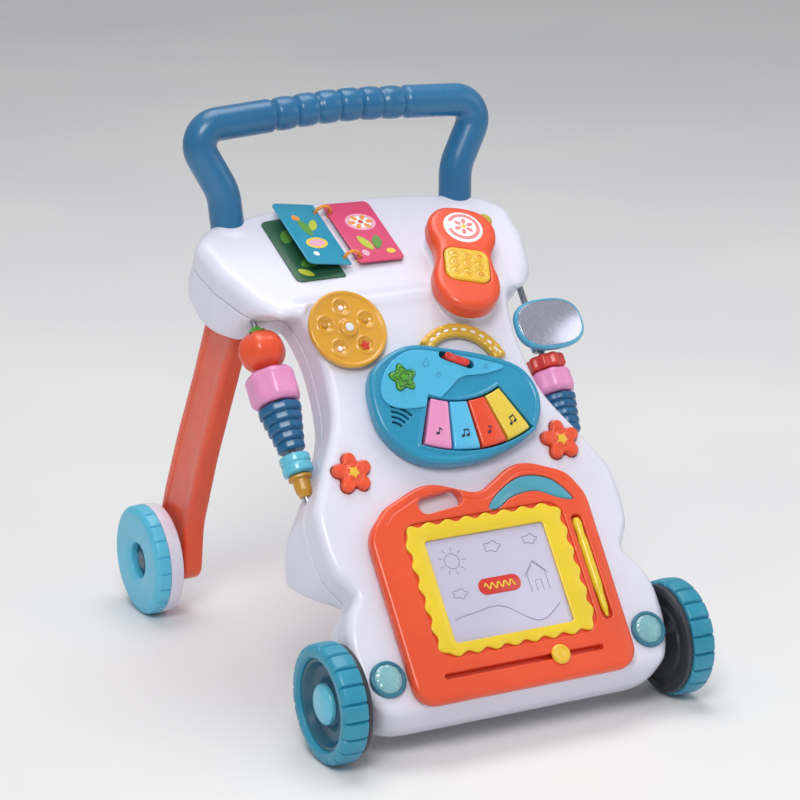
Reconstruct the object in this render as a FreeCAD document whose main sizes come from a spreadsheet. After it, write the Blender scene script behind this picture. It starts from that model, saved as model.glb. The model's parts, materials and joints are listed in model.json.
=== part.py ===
"""Push-along activity walker for a baby: a hollow sloping panel on four wheels, with a handle bar,
a lift-off drawing board, a lift-off toy phone, a picture book, a small piano and side rollers.

Row frame: millimetres, +Z up, the panel faces -Y (and up), the child walks behind it at +Y.
The origin is on the floor, in the middle of the wheelbase."""
import FreeCAD, Part
import math
import os
import Sketcher
from FreeCAD import Placement, Rotation, Vector

doc = FreeCAD.newDocument("activity_walker")
sheet = doc.addObject("Spreadsheet::Sheet", "dims")

DIMENSIONS = {
    # wheels and axles
    "wheel_radius": 53, "wheelbase_half": 208, "wheel_width": 28, "front_wheel_outside": 185,
    "rear_wheel_outside": 171, "axle_radius": 4, "running_gap": 0.05, "inner_disc_width": 5,
    "inner_disc_radius": 49, "tread_depth": 2.2, "tread_groove": 3, "tread_count": 20,
    "rim_radius": 40, "half_wheel": 14, "rear_recess_radius": 17,
    # face of the panel: a plane with its origin on the centre line, 85 above the floor
    "face_y": -222, "face_z": 85, "face_slope": 52.4, "wall": 2.6,
    # head: the flatter top plane above the face
    "head_y": -16, "head_z": 348, "head_slope": 26.2,
    "axle_y": -208, "axle_height": 53, "moving_gap": 0.3,
    # handle and legs
    "handle_y": 101, "handle_z": 384, "handle_lean": 6, "tube_radius": 15.5, "tube_bore": 12.7,
    "groove_pitch": 22, "groove_radius": 1.4,
    "leg_outside": 138, "leg_thick": 20,
    # drawing board
    "board_thick": 12, "bezel_thick": 3.4, "screen_thick": 2,
    # piano
    "piano_height": 16, "piano_wall": 2.4, "key_height": 12.5, "wave_thick": 1.2, "arc_height": 8,
    # phone, book
    "phone_thick": 20, "page_thick": 1.6, "page_gap": 4.5, "ring_radius": 8, "ring_wire": 1.6,
    # flower buttons
    "button_height": 10,
    # side rollers
    "rod_x": 136.5, "rod_depth": -35, "rod_radius": 3,
    # electronics
    "battery_radius": 7.2, "circuit_thick": 1.6,
}
for line, (alias, value) in enumerate(DIMENSIONS.items(), start=1):
    sheet.set("A%d" % line, alias.replace("_", " "))
    sheet.set("B%d" % line, str(value))
    sheet.setAlias("B%d" % line, alias)
doc.recompute()


def dim(alias):
    """A driving dimension, read back from the sheet."""
    return float(sheet.get(alias))


# ---------------------------------------------------------------- frames
def frame_at(x, y, z, slope=0, turn=0):
    """A placement at a point, tipped back by slope about X and then turned in its own plane."""
    tip = Rotation(Vector(1, 0, 0), slope)
    return Placement(Vector(x, y, z), tip.multiply(Rotation(Vector(0, 0, 1), turn)))


FACE = frame_at(0, dim("face_y"), dim("face_z"), dim("face_slope"))
HEAD = frame_at(0, dim("head_y"), dim("head_z"), dim("head_slope"))
PHONE = frame_at(66, -1.6, 359.2, 34, -20)


def on(frame, x, v, n=0, turn=0):
    """A placement on a sloping frame: x across, v up the slope, n out of it."""
    return frame.multiply(Placement(Vector(x, v, n), Rotation(Vector(0, 0, 1), turn)))


def along_rod(side, v):
    """A placement whose Z runs up a side roller rod, at height v on it."""
    tilt = Rotation(Vector(1, 0, 0), -90)
    return FACE.multiply(Placement(Vector(side * dim("rod_x"), v, dim("rod_depth")), tilt))


def wheel_frame(side, outside, y):
    """A placement whose Z points outwards along a wheel axle, at the wheel's inner face."""
    x = side * (outside - dim("wheel_width"))
    return Placement(Vector(x, y, dim("axle_height")), Rotation(Vector(0, 1, 0), side * 90))


# ---------------------------------------------------------------- curves
def polygon(points):
    closed = [Vector(*p, 0) for p in points]
    return [Part.LineSegment(a, b) for a, b in zip(closed, closed[1:] + closed[:1])]


def smooth(points):
    """A closed smooth curve through the points."""
    curve = Part.BSplineCurve()
    curve.interpolate(Points=[Vector(*p, 0) for p in points], PeriodicFlag=True)
    return [curve]


def rounded_run(corners, closed=True):
    """Straight runs joined by tangent arcs; each corner is (x, y, radius)."""
    count = len(corners)
    pieces = []
    starts = {}
    ends = {}
    for i, (x, y, radius) in enumerate(corners):
        corner = Vector(x, y, 0)
        if not closed and i in (0, count - 1):
            starts[i] = ends[i] = corner
            continue
        before = Vector(*corners[i - 1][:2], 0).sub(corner)
        after = Vector(*corners[(i + 1) % count][:2], 0).sub(corner)
        half = before.getAngle(after) / 2
        reach = radius / math.tan(half)
        before.normalize()
        after.normalize()
        first = corner + before * reach
        last = corner + after * reach
        middle = before + after
        middle.normalize()
        crown = corner + middle * (radius / math.sin(half) - radius)
        starts[i] = first
        ends[i] = last
        pieces.append((i, Part.Arc(first, crown, last)))
    arcs = dict(pieces)
    result = []
    for i in range(count if closed else count - 1):
        if i in arcs:
            result.append(arcs[i])
        result.append(Part.LineSegment(ends[i], starts[(i + 1) % count]))
    return result


def rounded_box(width, height, radius, x=0, y=0):
    a, b = width / 2, height / 2
    corners = [(x - a, y - b), (x + a, y - b), (x + a, y + b), (x - a, y + b)]
    return rounded_run([(p, q, radius) for p, q in corners])


def petals(count, mean, swing, turn=90, x=0, y=0):
    """A flower or star outline: its radius swings about the mean once for each petal."""
    steps = count * 8
    points = []
    for i in range(steps):
        angle = 2 * math.pi * i / steps
        radius = mean + swing * math.cos(count * angle)
        aim = angle + math.radians(turn)
        points.append((x + radius * math.cos(aim), y + radius * math.sin(aim)))
    return smooth(points)


def ring_sector(x, y, inner, outer, low, high):
    """Part of a flat ring between two angles in degrees."""
    def point(radius, angle):
        aim = math.radians(angle)
        return Vector(x + radius * math.cos(aim), y + radius * math.sin(aim), 0)

    middle = (low + high) / 2
    return [Part.Arc(point(outer, low), point(outer, middle), point(outer, high)),
            Part.LineSegment(point(outer, high), point(inner, high)),
            Part.Arc(point(inner, high), point(inner, middle), point(inner, low)),
            Part.LineSegment(point(inner, low), point(outer, low))]


# ---------------------------------------------------------------- PartDesign helpers
def new_body(label, where):
    body = doc.addObject("PartDesign::Body", label)
    body.Label = label
    body.Placement = where
    return body


def add_sketch(body, curves, role="XY_Plane", lift=0):
    sketch = body.newObject("Sketcher::SketchObject", body.Label + "_sketch")
    plane = next(f for f in body.Origin.OriginFeatures if f.Role == role)
    sketch.AttachmentSupport = [(plane, "")]
    sketch.MapMode = "FlatFace"
    sketch.AttachmentOffset = Placement(Vector(0, 0, lift), Rotation())
    for curve in curves:
        sketch.addGeometry(curve, False)
    return sketch


def add_circle(sketch, x, y, rule):
    """A circle whose radius is bound to the sheet by an expression."""
    index = sketch.addGeometry(Part.Circle(Vector(x, y, 0), Vector(0, 0, 1), 1), False)
    number = sketch.addConstraint(Sketcher.Constraint("Radius", index, 1))
    sketch.setExpression("Constraints[%d]" % number, rule)


def bound(feature, prop, rule):
    if isinstance(rule, str):
        feature.setExpression(prop, rule)
    else:
        setattr(feature, prop, rule)


def pad(body, sketch, rule):
    feature = body.newObject("PartDesign::Pad", body.Label + "_pad")
    feature.Profile = sketch
    bound(feature, "Length", rule)
    return feature


def pocket(body, sketch, rule, upward=False):
    """Cut downwards from the sketch, or upwards; the cut has to remove something."""
    doc.recompute()
    before = body.Shape.Volume
    feature = body.newObject("PartDesign::Pocket", body.Label + "_pocket")
    feature.Profile = sketch
    feature.Reversed = upward
    bound(feature, "Length", rule)
    doc.recompute()
    if body.Shape.Volume > before - 1:
        raise RuntimeError("a pocket in %s cuts nothing" % body.Label)
    return feature


def turned(label, where, points, closed_curve=None):
    """A body of revolution about its own Z: points are (radius, height)."""
    body = new_body(label, where)
    curves = closed_curve if closed_curve else polygon(points)
    sketch = add_sketch(body, curves, "XZ_Plane")
    feature = body.newObject("PartDesign::Revolution", label + "_turn")
    feature.Profile = sketch
    feature.ReferenceAxis = (sketch, ["V_Axis"])
    feature.Angle = 360
    return body


def polar(body, feature, sketch, count):
    pattern = body.newObject("PartDesign::PolarPattern", body.Label + "_around")
    pattern.Originals = [feature]
    pattern.Axis = (sketch, ["N_Axis"])
    pattern.Angle = 360
    bound(pattern, "Occurrences", count)
    body.Tip = pattern
    return pattern


def soften(body, feature, rule, height):
    """Round every edge of the feature that lies wholly at one height above its sketch."""
    doc.recompute()
    names = []
    for i, edge in enumerate(feature.Shape.Edges, start=1):
        box = edge.BoundBox
        if abs(box.ZMin - height) < 1e-3 and abs(box.ZMax - height) < 1e-3:
            names.append("Edge%d" % i)
    fillet = body.newObject("PartDesign::Fillet", body.Label + "_fillet")
    fillet.Base = (feature, names)
    bound(fillet, "Radius", rule)
    doc.recompute()
    return fillet


# ---------------------------------------------------------------- booleans
def boolean(kind, label, base, tool):
    result = doc.addObject("Part::" + kind, label)
    result.Label = label
    result.Base = base
    result.Tool = tool
    return result


def gathered(label, shapes):
    result = doc.addObject("Part::Compound", label)
    result.Label = label
    result.Links = shapes
    return result


def rod(label, where, radius_rule, length):
    cylinder = doc.addObject("Part::Cylinder", label)
    cylinder.Label = label
    bound(cylinder, "Radius", radius_rule)
    cylinder.Height = length
    cylinder.Placement = where
    return cylinder


def block(label, where, size):
    box = doc.addObject("Part::Box", label)
    box.Label = label
    box.Length, box.Width, box.Height = size
    box.Placement = where
    return box


NODES = []


def keep(*pieces):
    NODES.extend(pieces)


SIDES = (("left", -1), ("right", 1))

# ---------------------------------------------------------------- panel: outer form and hollow
TORSO_EDGE = [(96, -62), (118, -60), (134, -51), (144, -36), (151, -16), (154, 4), (153, 28), (146, 48),
              (137, 60), (136, 67), (142, 78), (148, 90), (150.5, 112), (149, 142), (142, 157), (134, 172),
              (124, 190), (113, 209), (105, 228), (101, 252), (99, 280), (101, 305), (107, 328), (116, 350)]


def face_point(v):
    """Where the face plane passes, as (y, z), at a height v up its slope."""
    spot = on(FACE, 0, v).Base
    return (spot.y, spot.z)


SIDE_PROFILE = [(-223, 16), (-236, 27), (-246, 45), face_point(-41.9), face_point(335.4), (60, 330),
                (18, 310), (-70, 194), (-71, 110), (-153, 109), (-155, 16)]
HEAD_EDGE = [(102, -13, 6), (126, -9, 14), (143, 16, 60), (158, 60, 40), (162, 104, 22), (140, 127, 26),
             (60, 144, 400), (-60, 144, 400), (-140, 127, 26), (-162, 104, 22), (-158, 60, 40),
             (-143, 16, 60), (-126, -9, 14), (-102, -13, 6)]
HEAD_PROFILE = [(-36, 338.2), (116, 412.9), (122, 400), (119, 366), (104, 334), (84, 316), (60, 309),
                (40, 308), (22, 322), (6, 333)]


def half_spline(points):
    curve = Part.BSplineCurve()
    curve.interpolate([Vector(*p, 0) for p in points])
    return curve


def torso_form(name, gap):
    """The lower panel: its curvy outline on the face plane, met by its side profile."""
    right = [(x - gap, y) for x, y in TORSO_EDGE]
    right[0] = (right[0][0], right[0][1] + gap)
    right[1] = (right[1][0], right[1][1] + gap)
    left = [(-x, y) for x, y in reversed(right)]
    outline = [half_spline(right), Part.LineSegment(Vector(*right[-1], 0), Vector(*left[0], 0)),
               half_spline(left), Part.LineSegment(Vector(*left[-1], 0), Vector(*right[0], 0))]
    front = new_body(name + "_front", on(FACE, 0, 0, 20))
    sketch = add_sketch(front, outline)
    feature = pad(front, sketch, 190.0)
    feature.Reversed = True
    side = new_body(name + "_side", Placement())
    profile = add_sketch(side, polygon(profile_inset(SIDE_PROFILE, gap)), "YZ_Plane", -175)
    pad(side, profile, 350.0)
    doc.recompute()
    return boolean("Common", name, front, side)


def profile_inset(points, gap):
    """The closed profile with every side moved inwards by the gap."""
    if gap == 0:
        return points
    corners = [Vector(*p, 0) for p in points]
    area = sum(a.x * b.y - a.y * b.x for a, b in zip(corners, corners[1:] + corners[:1]))
    inward = math.copysign(1, area)
    sides = []
    for a, b in zip(corners, corners[1:] + corners[:1]):
        run = (b - a).normalize()
        sides.append((a + Vector(-run.y, run.x, 0) * inward * gap, run))
    moved = []
    for (p, d), (q, e) in zip(sides[-1:] + sides[:-1], sides):
        reach = ((q - p).x * e.y - (q - p).y * e.x) / (d.x * e.y - d.y * e.x)
        moved.append((p.x + d.x * reach, p.y + d.y * reach))
    return moved


def head_form(name, gap):
    """The head: its plan outline seen square to the head plane, met by its side profile."""
    corners = []
    for x, y, radius in HEAD_EDGE:
        inward = math.copysign(gap, x)
        rise = gap if y < 0 else -gap * (y > 100)
        corners.append((x - inward, y + rise, radius))
    plan = new_body(name + "_plan", on(HEAD, 0, 0, 20))
    sketch = add_sketch(plan, rounded_run(corners))
    feature = pad(plan, sketch, 150.0)
    feature.Reversed = True
    side = new_body(name + "_side", Placement())
    profile = add_sketch(side, polygon(profile_inset(HEAD_PROFILE, gap)), "YZ_Plane", -175)
    pad(side, profile, 350.0)
    doc.recompute()
    return boolean("Common", name, plan, side)


HANDLE_RUN = [(117, 0, 0), (119.6, 44, 50), (152.3, 105.8, 19), (0, 114, 600), (-152.3, 105.8, 19),
              (-119.6, 44, 50), (-117, 0, 0)]
FOOT_X = HANDLE_RUN[0][0]
LEG_SPLAY = math.degrees(math.atan2(HANDLE_RUN[1][0] - FOOT_X, HANDLE_RUN[1][1]))


def handle_foot(side, drop):
    """A placement at the foot of a handle leg, its Z up the leg; drop is how far below the foot."""
    lean = Rotation(Vector(1, 0, 0), -dim("handle_lean"))
    lean = lean.multiply(Rotation(Vector(0, 1, 0), LEG_SPLAY * side))
    foot = Placement(Vector(side * FOOT_X, dim("handle_y"), dim("handle_z")), lean)
    return foot.multiply(Placement(Vector(0, 0, -drop), Rotation()))


PHONE_OUTLINE = [(0, 62), (20, 58), (31, 44), (32, 27), (27, 10), (27, -6), (31, -24), (29, -44), (17, -60),
                 (0, -65), (-17, -60), (-29, -44), (-31, -24), (-27, -6), (-27, 10), (-32, 27), (-31, 44),
                 (-20, 58)]
cradle = new_body("phone_cradle", on(PHONE, 0, 0, -dim("moving_gap")))
cradle_pad = pad(cradle, add_sketch(cradle, smooth([(x * 0.78, y * 0.84) for x, y in PHONE_OUTLINE])), 34.0)
cradle_pad.Reversed = True
phone_bed = new_body("phone_bed", on(PHONE, 0, 0, -dim("moving_gap")))
pad(phone_bed, add_sketch(phone_bed, smooth([(x * 1.03, y * 1.015) for x, y in PHONE_OUTLINE])), 30.0)
DISC_SEAT = on(FACE, -69, 304)
disc_pin = turned("disc_pin", DISC_SEAT, [(0, -1), (3, -1), (3, 9.8), (5.5, 9.8), (5.5, 11.5), (0, 12)])
bosses = [rod("handle_boss_" + name, handle_foot(side, 20), 19.0, 30.0) for name, side in SIDES]
torso = torso_form("torso_form", 0)
head = head_form("head_form", 0)
plain_form = boolean("Fuse", "plain_form", torso, head)
cradle_form = boolean("Fuse", "cradle_form", plain_form, cradle)
outer_form = boolean("Fuse", "outer_form", cradle_form, gathered("handle_bosses", bosses + [disc_pin]))
torso_hollow = torso_form("torso_hollow", dim("wall"))
head_hollow = head_form("head_hollow", dim("wall"))
hollow = boolean("Fuse", "hollow_form", torso_hollow, head_hollow)
doc.recompute()

# bays beside the neck, where the side rollers turn
bays = []
for name, side in SIDES:
    bays.append(rod("wide_bay_" + name, along_rod(side, 210), 27.0, 126.0))
    bays.append(rod("narrow_bay_" + name, along_rod(side, 168), 17.0, 60.0))
bay_cut = gathered("roller_bays", bays)
shaped = boolean("Cut", "shaped_form", outer_form, bay_cut)
bay_walls = []
for name, side in SIDES:
    bay_walls.append(rod("wide_bay_wall_" + name, along_rod(side, 208), 29.5, 130.0))
    bay_walls.append(rod("narrow_bay_wall_" + name, along_rod(side, 165.5), 19.5, 60.0))
bay_wall_cut = gathered("bay_walls", bay_walls)
shaped_hollow = boolean("Cut", "shaped_hollow", hollow, bay_wall_cut)
shell = boolean("Cut", "panel_shell", shaped, shaped_hollow)

# ---------------------------------------------------------------- legs and handle
LEG = [(60, 326, 6), (102, 332, 6), (143, 252, 500), (180, 187, 500), (210, 128, 90), (228, 88, 60),
       (231, 36, 26), (170, 36, 16), (162, 92, 90), (128, 168, 500), (98, 224, 500), (70, 276, 300),
       (48, 310, 20)]
legs = {}
for name, side in SIDES:
    leg = new_body(name + "_leg", Placement())
    base = dim("leg_outside") - dim("leg_thick") if side > 0 else -dim("leg_outside")
    sketch = add_sketch(leg, rounded_run(LEG), "YZ_Plane", base)
    feature = pad(leg, sketch, "dims.leg_thick")
    doc.recompute()
    hole = add_sketch(leg, [], "YZ_Plane", base)
    add_circle(hole, dim("wheelbase_half"), dim("axle_height"), "dims.axle_radius")
    pocket(leg, hole, "dims.leg_thick", upward=True)
    legs[name] = leg
    keep(leg)

HANDLE_LEAN = Rotation(Vector(1, 0, 0), -dim("handle_lean"))
HANDLE = Placement(Vector(0, dim("handle_y"), dim("handle_z")), HANDLE_LEAN)
tube = new_body("handle_tube", HANDLE)
spine = add_sketch(tube, rounded_run(HANDLE_RUN, closed=False), "XZ_Plane")
section = add_sketch(tube, [])
add_circle(section, FOOT_X, 0, "dims.tube_radius")
add_circle(section, FOOT_X, 0, "dims.tube_bore")
sweep = tube.newObject("PartDesign::AdditivePipe", "handle_sweep")
sweep.Profile = section
sweep.Spine = spine
sweep.Transition = "Transformed"
GRIP_GROOVES = 7
BAR_CROWN = 114
BAR_FALL = 8.2 / 152.3
grooves = []
for i in range(GRIP_GROOVES):
    x = (i - (GRIP_GROOVES - 1) / 2) * dim("groove_pitch")
    groove = doc.addObject("Part::Torus", "grip_groove_%d" % i)
    groove.setExpression("Radius1", "dims.tube_radius + 0.5")
    groove.setExpression("Radius2", "dims.groove_radius")
    lean = math.copysign(math.degrees(math.atan(BAR_FALL)), x) if x else 0
    centre = Vector(x, 0, BAR_CROWN - max(BAR_FALL * abs(x), 0.9))
    groove.Placement = HANDLE.multiply(Placement(centre, Rotation(Vector(0, 1, 0), 90 + lean)))
    grooves.append(groove)
handle = boolean("Cut", "handle", tube, gathered("grip_grooves", grooves))
keep(handle)

# ---------------------------------------------------------------- flower buttons
BUTTON_X, BUTTON_V = 105, 172
button_holes = []
for name, side in SIDES:
    seat = on(FACE, side * BUTTON_X, BUTTON_V, -5)
    button = new_body("flower_button_" + name, seat)
    feature = pad(button, add_sketch(button, petals(5, 15.8, 3.2)), "dims.button_height")
    soften(button, feature, 1.6, dim("button_height"))
    keep(button)
    hole = new_body("flower_hole_" + name, seat)
    pad(hole, add_sketch(hole, petals(5, 16.3, 3.2)), "dims.button_height")
    button_holes.append(hole)

# ---------------------------------------------------------------- cuts through the shell
SIDEWAYS = Rotation(Vector(0, 1, 0), 90)
front_axle_bore = rod("front_axle_bore", Placement(Vector(-170, dim("axle_y"), dim("axle_height")), SIDEWAYS),
                      "dims.axle_radius", 340.0)
rod_bores = []
for name, side in SIDES:
    rod_bores.append(rod("rod_bore_" + name, along_rod(side, 150), "dims.rod_radius", 200.0))
handle_sockets = []
for name, side in SIDES:
    handle_sockets.append(rod("handle_socket_" + name, handle_foot(side, 1.2),
                              "dims.tube_radius + dims.running_gap", 44.0))
shell_cuts = gathered("shell_cuts", button_holes + [front_axle_bore] + rod_bores + handle_sockets
                      + [legs["left"], legs["right"], phone_bed])
cut_shell = boolean("Cut", "cut_shell", shell, shell_cuts)

# the parting surface between the front shell and the back cover
PARTING = [(-300, -20), (-190, -20), (-190, 77), (-166, 108), (3, 329), (14, 338), (100, 372), (140, 380),
           (140, 520), (-300, 520)]
parting = new_body("parting_side", Placement())
pad(parting, add_sketch(parting, polygon(PARTING), "YZ_Plane", -200), 400.0)
front_shell = boolean("Common", "panel_front_shell", cut_shell, parting)
back_cover = boolean("Cut", "panel_back_cover", cut_shell, parting)
keep(front_shell, back_cover)

# ---------------------------------------------------------------- wheels and axles
front_rod = rod("front_rod", Placement(Vector(-178, dim("axle_y"), dim("axle_height")), SIDEWAYS),
                "dims.axle_radius", 356.0)
BORE = dim("axle_radius") + dim("running_gap")
R, RIM, WIDE = dim("wheel_radius"), dim("rim_radius"), dim("wheel_width")
DISC = dim("inner_disc_width")


def tread_notch(depth, half):
    """The section of a groove across the tread, seen along the axle."""
    return polygon([(R - depth, -half), (R + 3, -half), (R + 3, half), (R - depth, half)])


for name, side in SIDES:
    seat = wheel_frame(side, dim("front_wheel_outside"), dim("axle_y"))
    tyre = turned("front_tyre_" + name, seat, [
        (RIM, DISC), (R - 2, DISC), (R, DISC + 2), (R, WIDE - 7), (R - 2.5, WIDE - 2), (R - 6, WIDE),
        (RIM + 3, WIDE), (RIM, WIDE - 3)])
    cut_sketch = add_sketch(tyre, tread_notch(dim("tread_depth"), dim("tread_groove") / 2), lift=WIDE)
    tread = pocket(tyre, cut_sketch, WIDE - DISC)
    polar(tyre, tread, cut_sketch, "dims.tread_count")
    rim = turned("front_rim_" + name, seat, [
        (BORE, DISC), (RIM, DISC), (RIM, WIDE - 4), (RIM - 3, WIDE - 5), (RIM - 7, WIDE - 12),
        (22, WIDE - 14), (19, WIDE - 9), (BORE, WIDE - 9)])
    inner = turned("front_inner_disc_" + name, seat, [
        (BORE, 0), (dim("inner_disc_radius"), 0), (dim("inner_disc_radius"), DISC), (BORE, DISC)])
    cap = turned("front_hub_cap_" + name, seat, None, [
        Part.LineSegment(Vector(0, WIDE - 6.5, 0), Vector(5, WIDE - 6.5, 0)),
        Part.LineSegment(Vector(5, WIDE - 6.5, 0), Vector(5, WIDE - 9, 0)),
        Part.LineSegment(Vector(5, WIDE - 9, 0), Vector(18, WIDE - 9, 0)),
        Part.LineSegment(Vector(18, WIDE - 9, 0), Vector(18, WIDE - 6, 0)),
        Part.Arc(Vector(18, WIDE - 6, 0), Vector(12, WIDE - 1.8, 0), Vector(3, WIDE, 0)),
        Part.LineSegment(Vector(3, WIDE, 0), Vector(0, WIDE, 0)),
        Part.LineSegment(Vector(0, WIDE, 0), Vector(0, WIDE - 6.5, 0))])
    keep(tyre, rim, inner, cap)

HALF, RECESS = dim("half_wheel"), dim("rear_recess_radius")
rear_axles = []
for name, side in SIDES:
    seat = wheel_frame(side, dim("rear_wheel_outside"), dim("wheelbase_half"))
    inner = turned("rear_wheel_inner_" + name, seat, [
        (BORE, 0), (20, 0), (22, 3), (44, 3), (46, 0), (R - 3, 0), (R, 3), (R, HALF), (RECESS, HALF),
        (RECESS, HALF + 4), (RECESS - 4, HALF + 6), (BORE, HALF + 6)])
    outer = turned("rear_wheel_outer_" + name, seat, [
        (RECESS, HALF), (R, HALF), (R, WIDE - 6), (R - 2, WIDE - 2), (R - 6, WIDE), (RECESS + 2, WIDE),
        (RECESS, WIDE - 2)])
    cut_sketch = add_sketch(outer, tread_notch(1.2, 1.2), lift=WIDE)
    tread = pocket(outer, cut_sketch, 10.0)
    polar(outer, tread, cut_sketch, "dims.tread_count")
    keep(inner, outer)
    leg_inside = side * (dim("leg_outside") - dim("leg_thick"))
    start = Vector(leg_inside, dim("wheelbase_half"), dim("axle_height"))
    rear_axles.append(rod("rear_stub_" + name, Placement(start, Rotation(Vector(0, 1, 0), side * 90)),
                          "dims.axle_radius", 44.0))
keep(gathered("wheel_axles", [front_rod] + rear_axles))

# ---------------------------------------------------------------- headlights
rings, lenses = [], []
for name, side in SIDES:
    seat = on(FACE, side * 130, -14)
    rings.append(turned("lamp_ring_" + name, seat, [(13.2, 0), (16.5, 0), (16.5, 3), (15.5, 4), (13.2, 4)]))
    lens = turned("lamp_lens_" + name, seat, None, [
        Part.LineSegment(Vector(0, 0, 0), Vector(13.2, 0, 0)),
        Part.LineSegment(Vector(13.2, 0, 0), Vector(13.2, 3, 0)),
        Part.Arc(Vector(13.2, 3, 0), Vector(8, 5.4, 0), Vector(2, 6.2, 0)),
        Part.LineSegment(Vector(2, 6.2, 0), Vector(0, 6.2, 0)),
        Part.LineSegment(Vector(0, 6.2, 0), Vector(0, 0, 0))])
    lenses.append(lens)
keep(gathered("headlight_rings", rings), gathered("headlight_lenses", lenses))

# ---------------------------------------------------------------- spinning disc
DISC_LIFT = 0.4
disc = turned("spinner_disc", on(FACE, -69, 304, DISC_LIFT), [
    (3.1, 3), (36, 3), (37, 4), (37, 6.5), (35.5, 8), (30, 8), (27, 7), (10, 7), (8, 9), (3.1, 9)])
dimple = add_sketch(disc, [Part.Circle(Vector(21, 0, 0), Vector(0, 0, 1), 7.5)], lift=7)
hollow_cut = pocket(disc, dimple, 2.4)
polar(disc, hollow_cut, dimple, 5)
keep(disc)

# ---------------------------------------------------------------- piano
PIANO = [(-70, 244), (-56, 265), (-22, 278), (17, 270), (59, 256), (84, 240), (92, 215), (83, 189),
         (60, 173), (17, 162), (-26, 164), (-54, 178), (-71, 206)]
WAVE = [(-62, 232), (-59, 246), (-44, 263), (-20, 272), (14, 264), (46, 253), (64, 244), (44, 240),
        (20, 240), (2, 229), (-16, 219), (-40, 218), (-56, 223)]
KEY_CENTRE = (18, 300)
KEY_ANGLES = (-18.8, -6.2, 6.4, 19.0)
STAR_X, STAR_V = -37, 247
PH = dim("piano_height")
case = new_body("piano_case", FACE)
case_pad = pad(case, add_sketch(case, smooth(PIANO)), "dims.piano_height")
soften(case, case_pad, 3.5, PH)
inner_outline = [(x - math.copysign(2.6, x - 10), y - math.copysign(2.6, y - 220)) for x, y in PIANO]
pocket(case, add_sketch(case, smooth(inner_outline)), PH - dim("piano_wall"), upward=True)
well = ring_sector(*KEY_CENTRE, 82, 128, -90 - 25.8, -90 + 26.0)
pocket(case, add_sketch(case, well, lift=PH), 4.0)
pocket(case, add_sketch(case, petals(5, 11.4, 2.4, x=STAR_X, y=STAR_V), lift=PH), 4.0)
SLIDE_TURN = math.degrees(math.atan2(-13, 24))
slot = [c.copy() for c in rounded_box(34, 8, 3.9)]
for curve in slot:
    curve.rotate(Placement(Vector(), Rotation(Vector(0, 0, 1), SLIDE_TURN)))
    curve.translate(Vector(20, 257, 0))
pocket(case, add_sketch(case, slot, lift=PH), 4.0)
for i in range(4):
    pocket(case, add_sketch(case, ring_sector(-62, 196, 12 + 5 * i, 14 + 5 * i, 30, 82), lift=PH), 4.0)
keep(case)

wave = new_body("piano_wave_panel", on(FACE, 0, 0, PH))
pad(wave, add_sketch(wave, smooth(WAVE)), "dims.wave_thick")
pocket(wave, add_sketch(wave, petals(5, 11.4, 2.4, x=STAR_X, y=STAR_V)), 3.0, upward=True)
pocket(wave, add_sketch(wave, slot), 3.0, upward=True)
pocket(wave, add_sketch(wave, well), 3.0, upward=True)
keep(wave)

for i, angle in enumerate(KEY_ANGLES, start=1):
    key = new_body("piano_key_%d" % i, on(FACE, *KEY_CENTRE, 4.6, angle))
    sector = ring_sector(0, 0, 82.6, 127.4, -95.85, -84.15)
    pad(key, add_sketch(key, sector), "dims.key_height")
    keep(key)

star = new_body("star_button", on(FACE, 0, 0, 8))
feature = pad(star, add_sketch(star, petals(5, 10.9, 2.4, x=STAR_X, y=STAR_V)), 12.0)
soften(star, feature, 1.2, 12)
keep(star)
slider = new_body("mode_slider", on(FACE, 20, 257, 9, SLIDE_TURN))
feature = pad(slider, add_sketch(slider, rounded_box(24, 7.2, 3.5)), 11.0)
soften(slider, feature, 1.2, 11)
keep(slider)
arch = new_body("piano_handle", FACE)
arch_pad = pad(arch, add_sketch(arch, ring_sector(30, 248, 38, 48, 12, 136)), "dims.arc_height")
soften(arch, arch_pad, 2.4, dim("arc_height"))
arch_handle = boolean("Cut", "piano_arch_handle", arch, case)
keep(arch_handle)
circuit = new_body("circuit_board", on(FACE, 0, 0, 0.2))
pad(circuit, add_sketch(circuit, rounded_box(100, 60, 4, 12, 210)), "dims.circuit_thick")
speaker = turned("speaker", on(FACE, -51, 212, 0.4), [(0, 0), (9, 0), (9, 5), (14, 9), (14, 11), (11, 11),
                                                      (0, 8)])
keep(boolean("Cut", "piano_circuit_board", circuit, speaker), speaker)

# ---------------------------------------------------------------- battery box inside the panel
box_outer = block("battery_box_outer", on(FACE, -33, 92, -44), (66, 58, 18))
box_inner = block("battery_box_inner", on(FACE, -31, 94, -42), (62, 54, 17))
keep(boolean("Cut", "battery_box", box_outer, box_inner))
cells = []
for i in range(3):
    cell_seat = on(FACE, -18 + 18 * i, 146, -34.5)
    cell_seat = cell_seat.multiply(Placement(Vector(), Rotation(Vector(1, 0, 0), 90)))
    cells.append(rod("cell_%d" % i, cell_seat, "dims.battery_radius", 50.0))
keep(gathered("batteries", cells))

# ---------------------------------------------------------------- drawing board
BT = dim("board_thick")
GAP = dim("moving_gap")
BOARD = [(-113, -46, 20), (106, -46, 20), (108, 120, 14), (94, 139, 16), (50, 159, 40), (4, 133, 20),
         (-44, 152, 46), (-88, 133, 14), (-112, 118, 12)]
SCREEN = (118, 94, 3, -3.5, 50.5)


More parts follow.
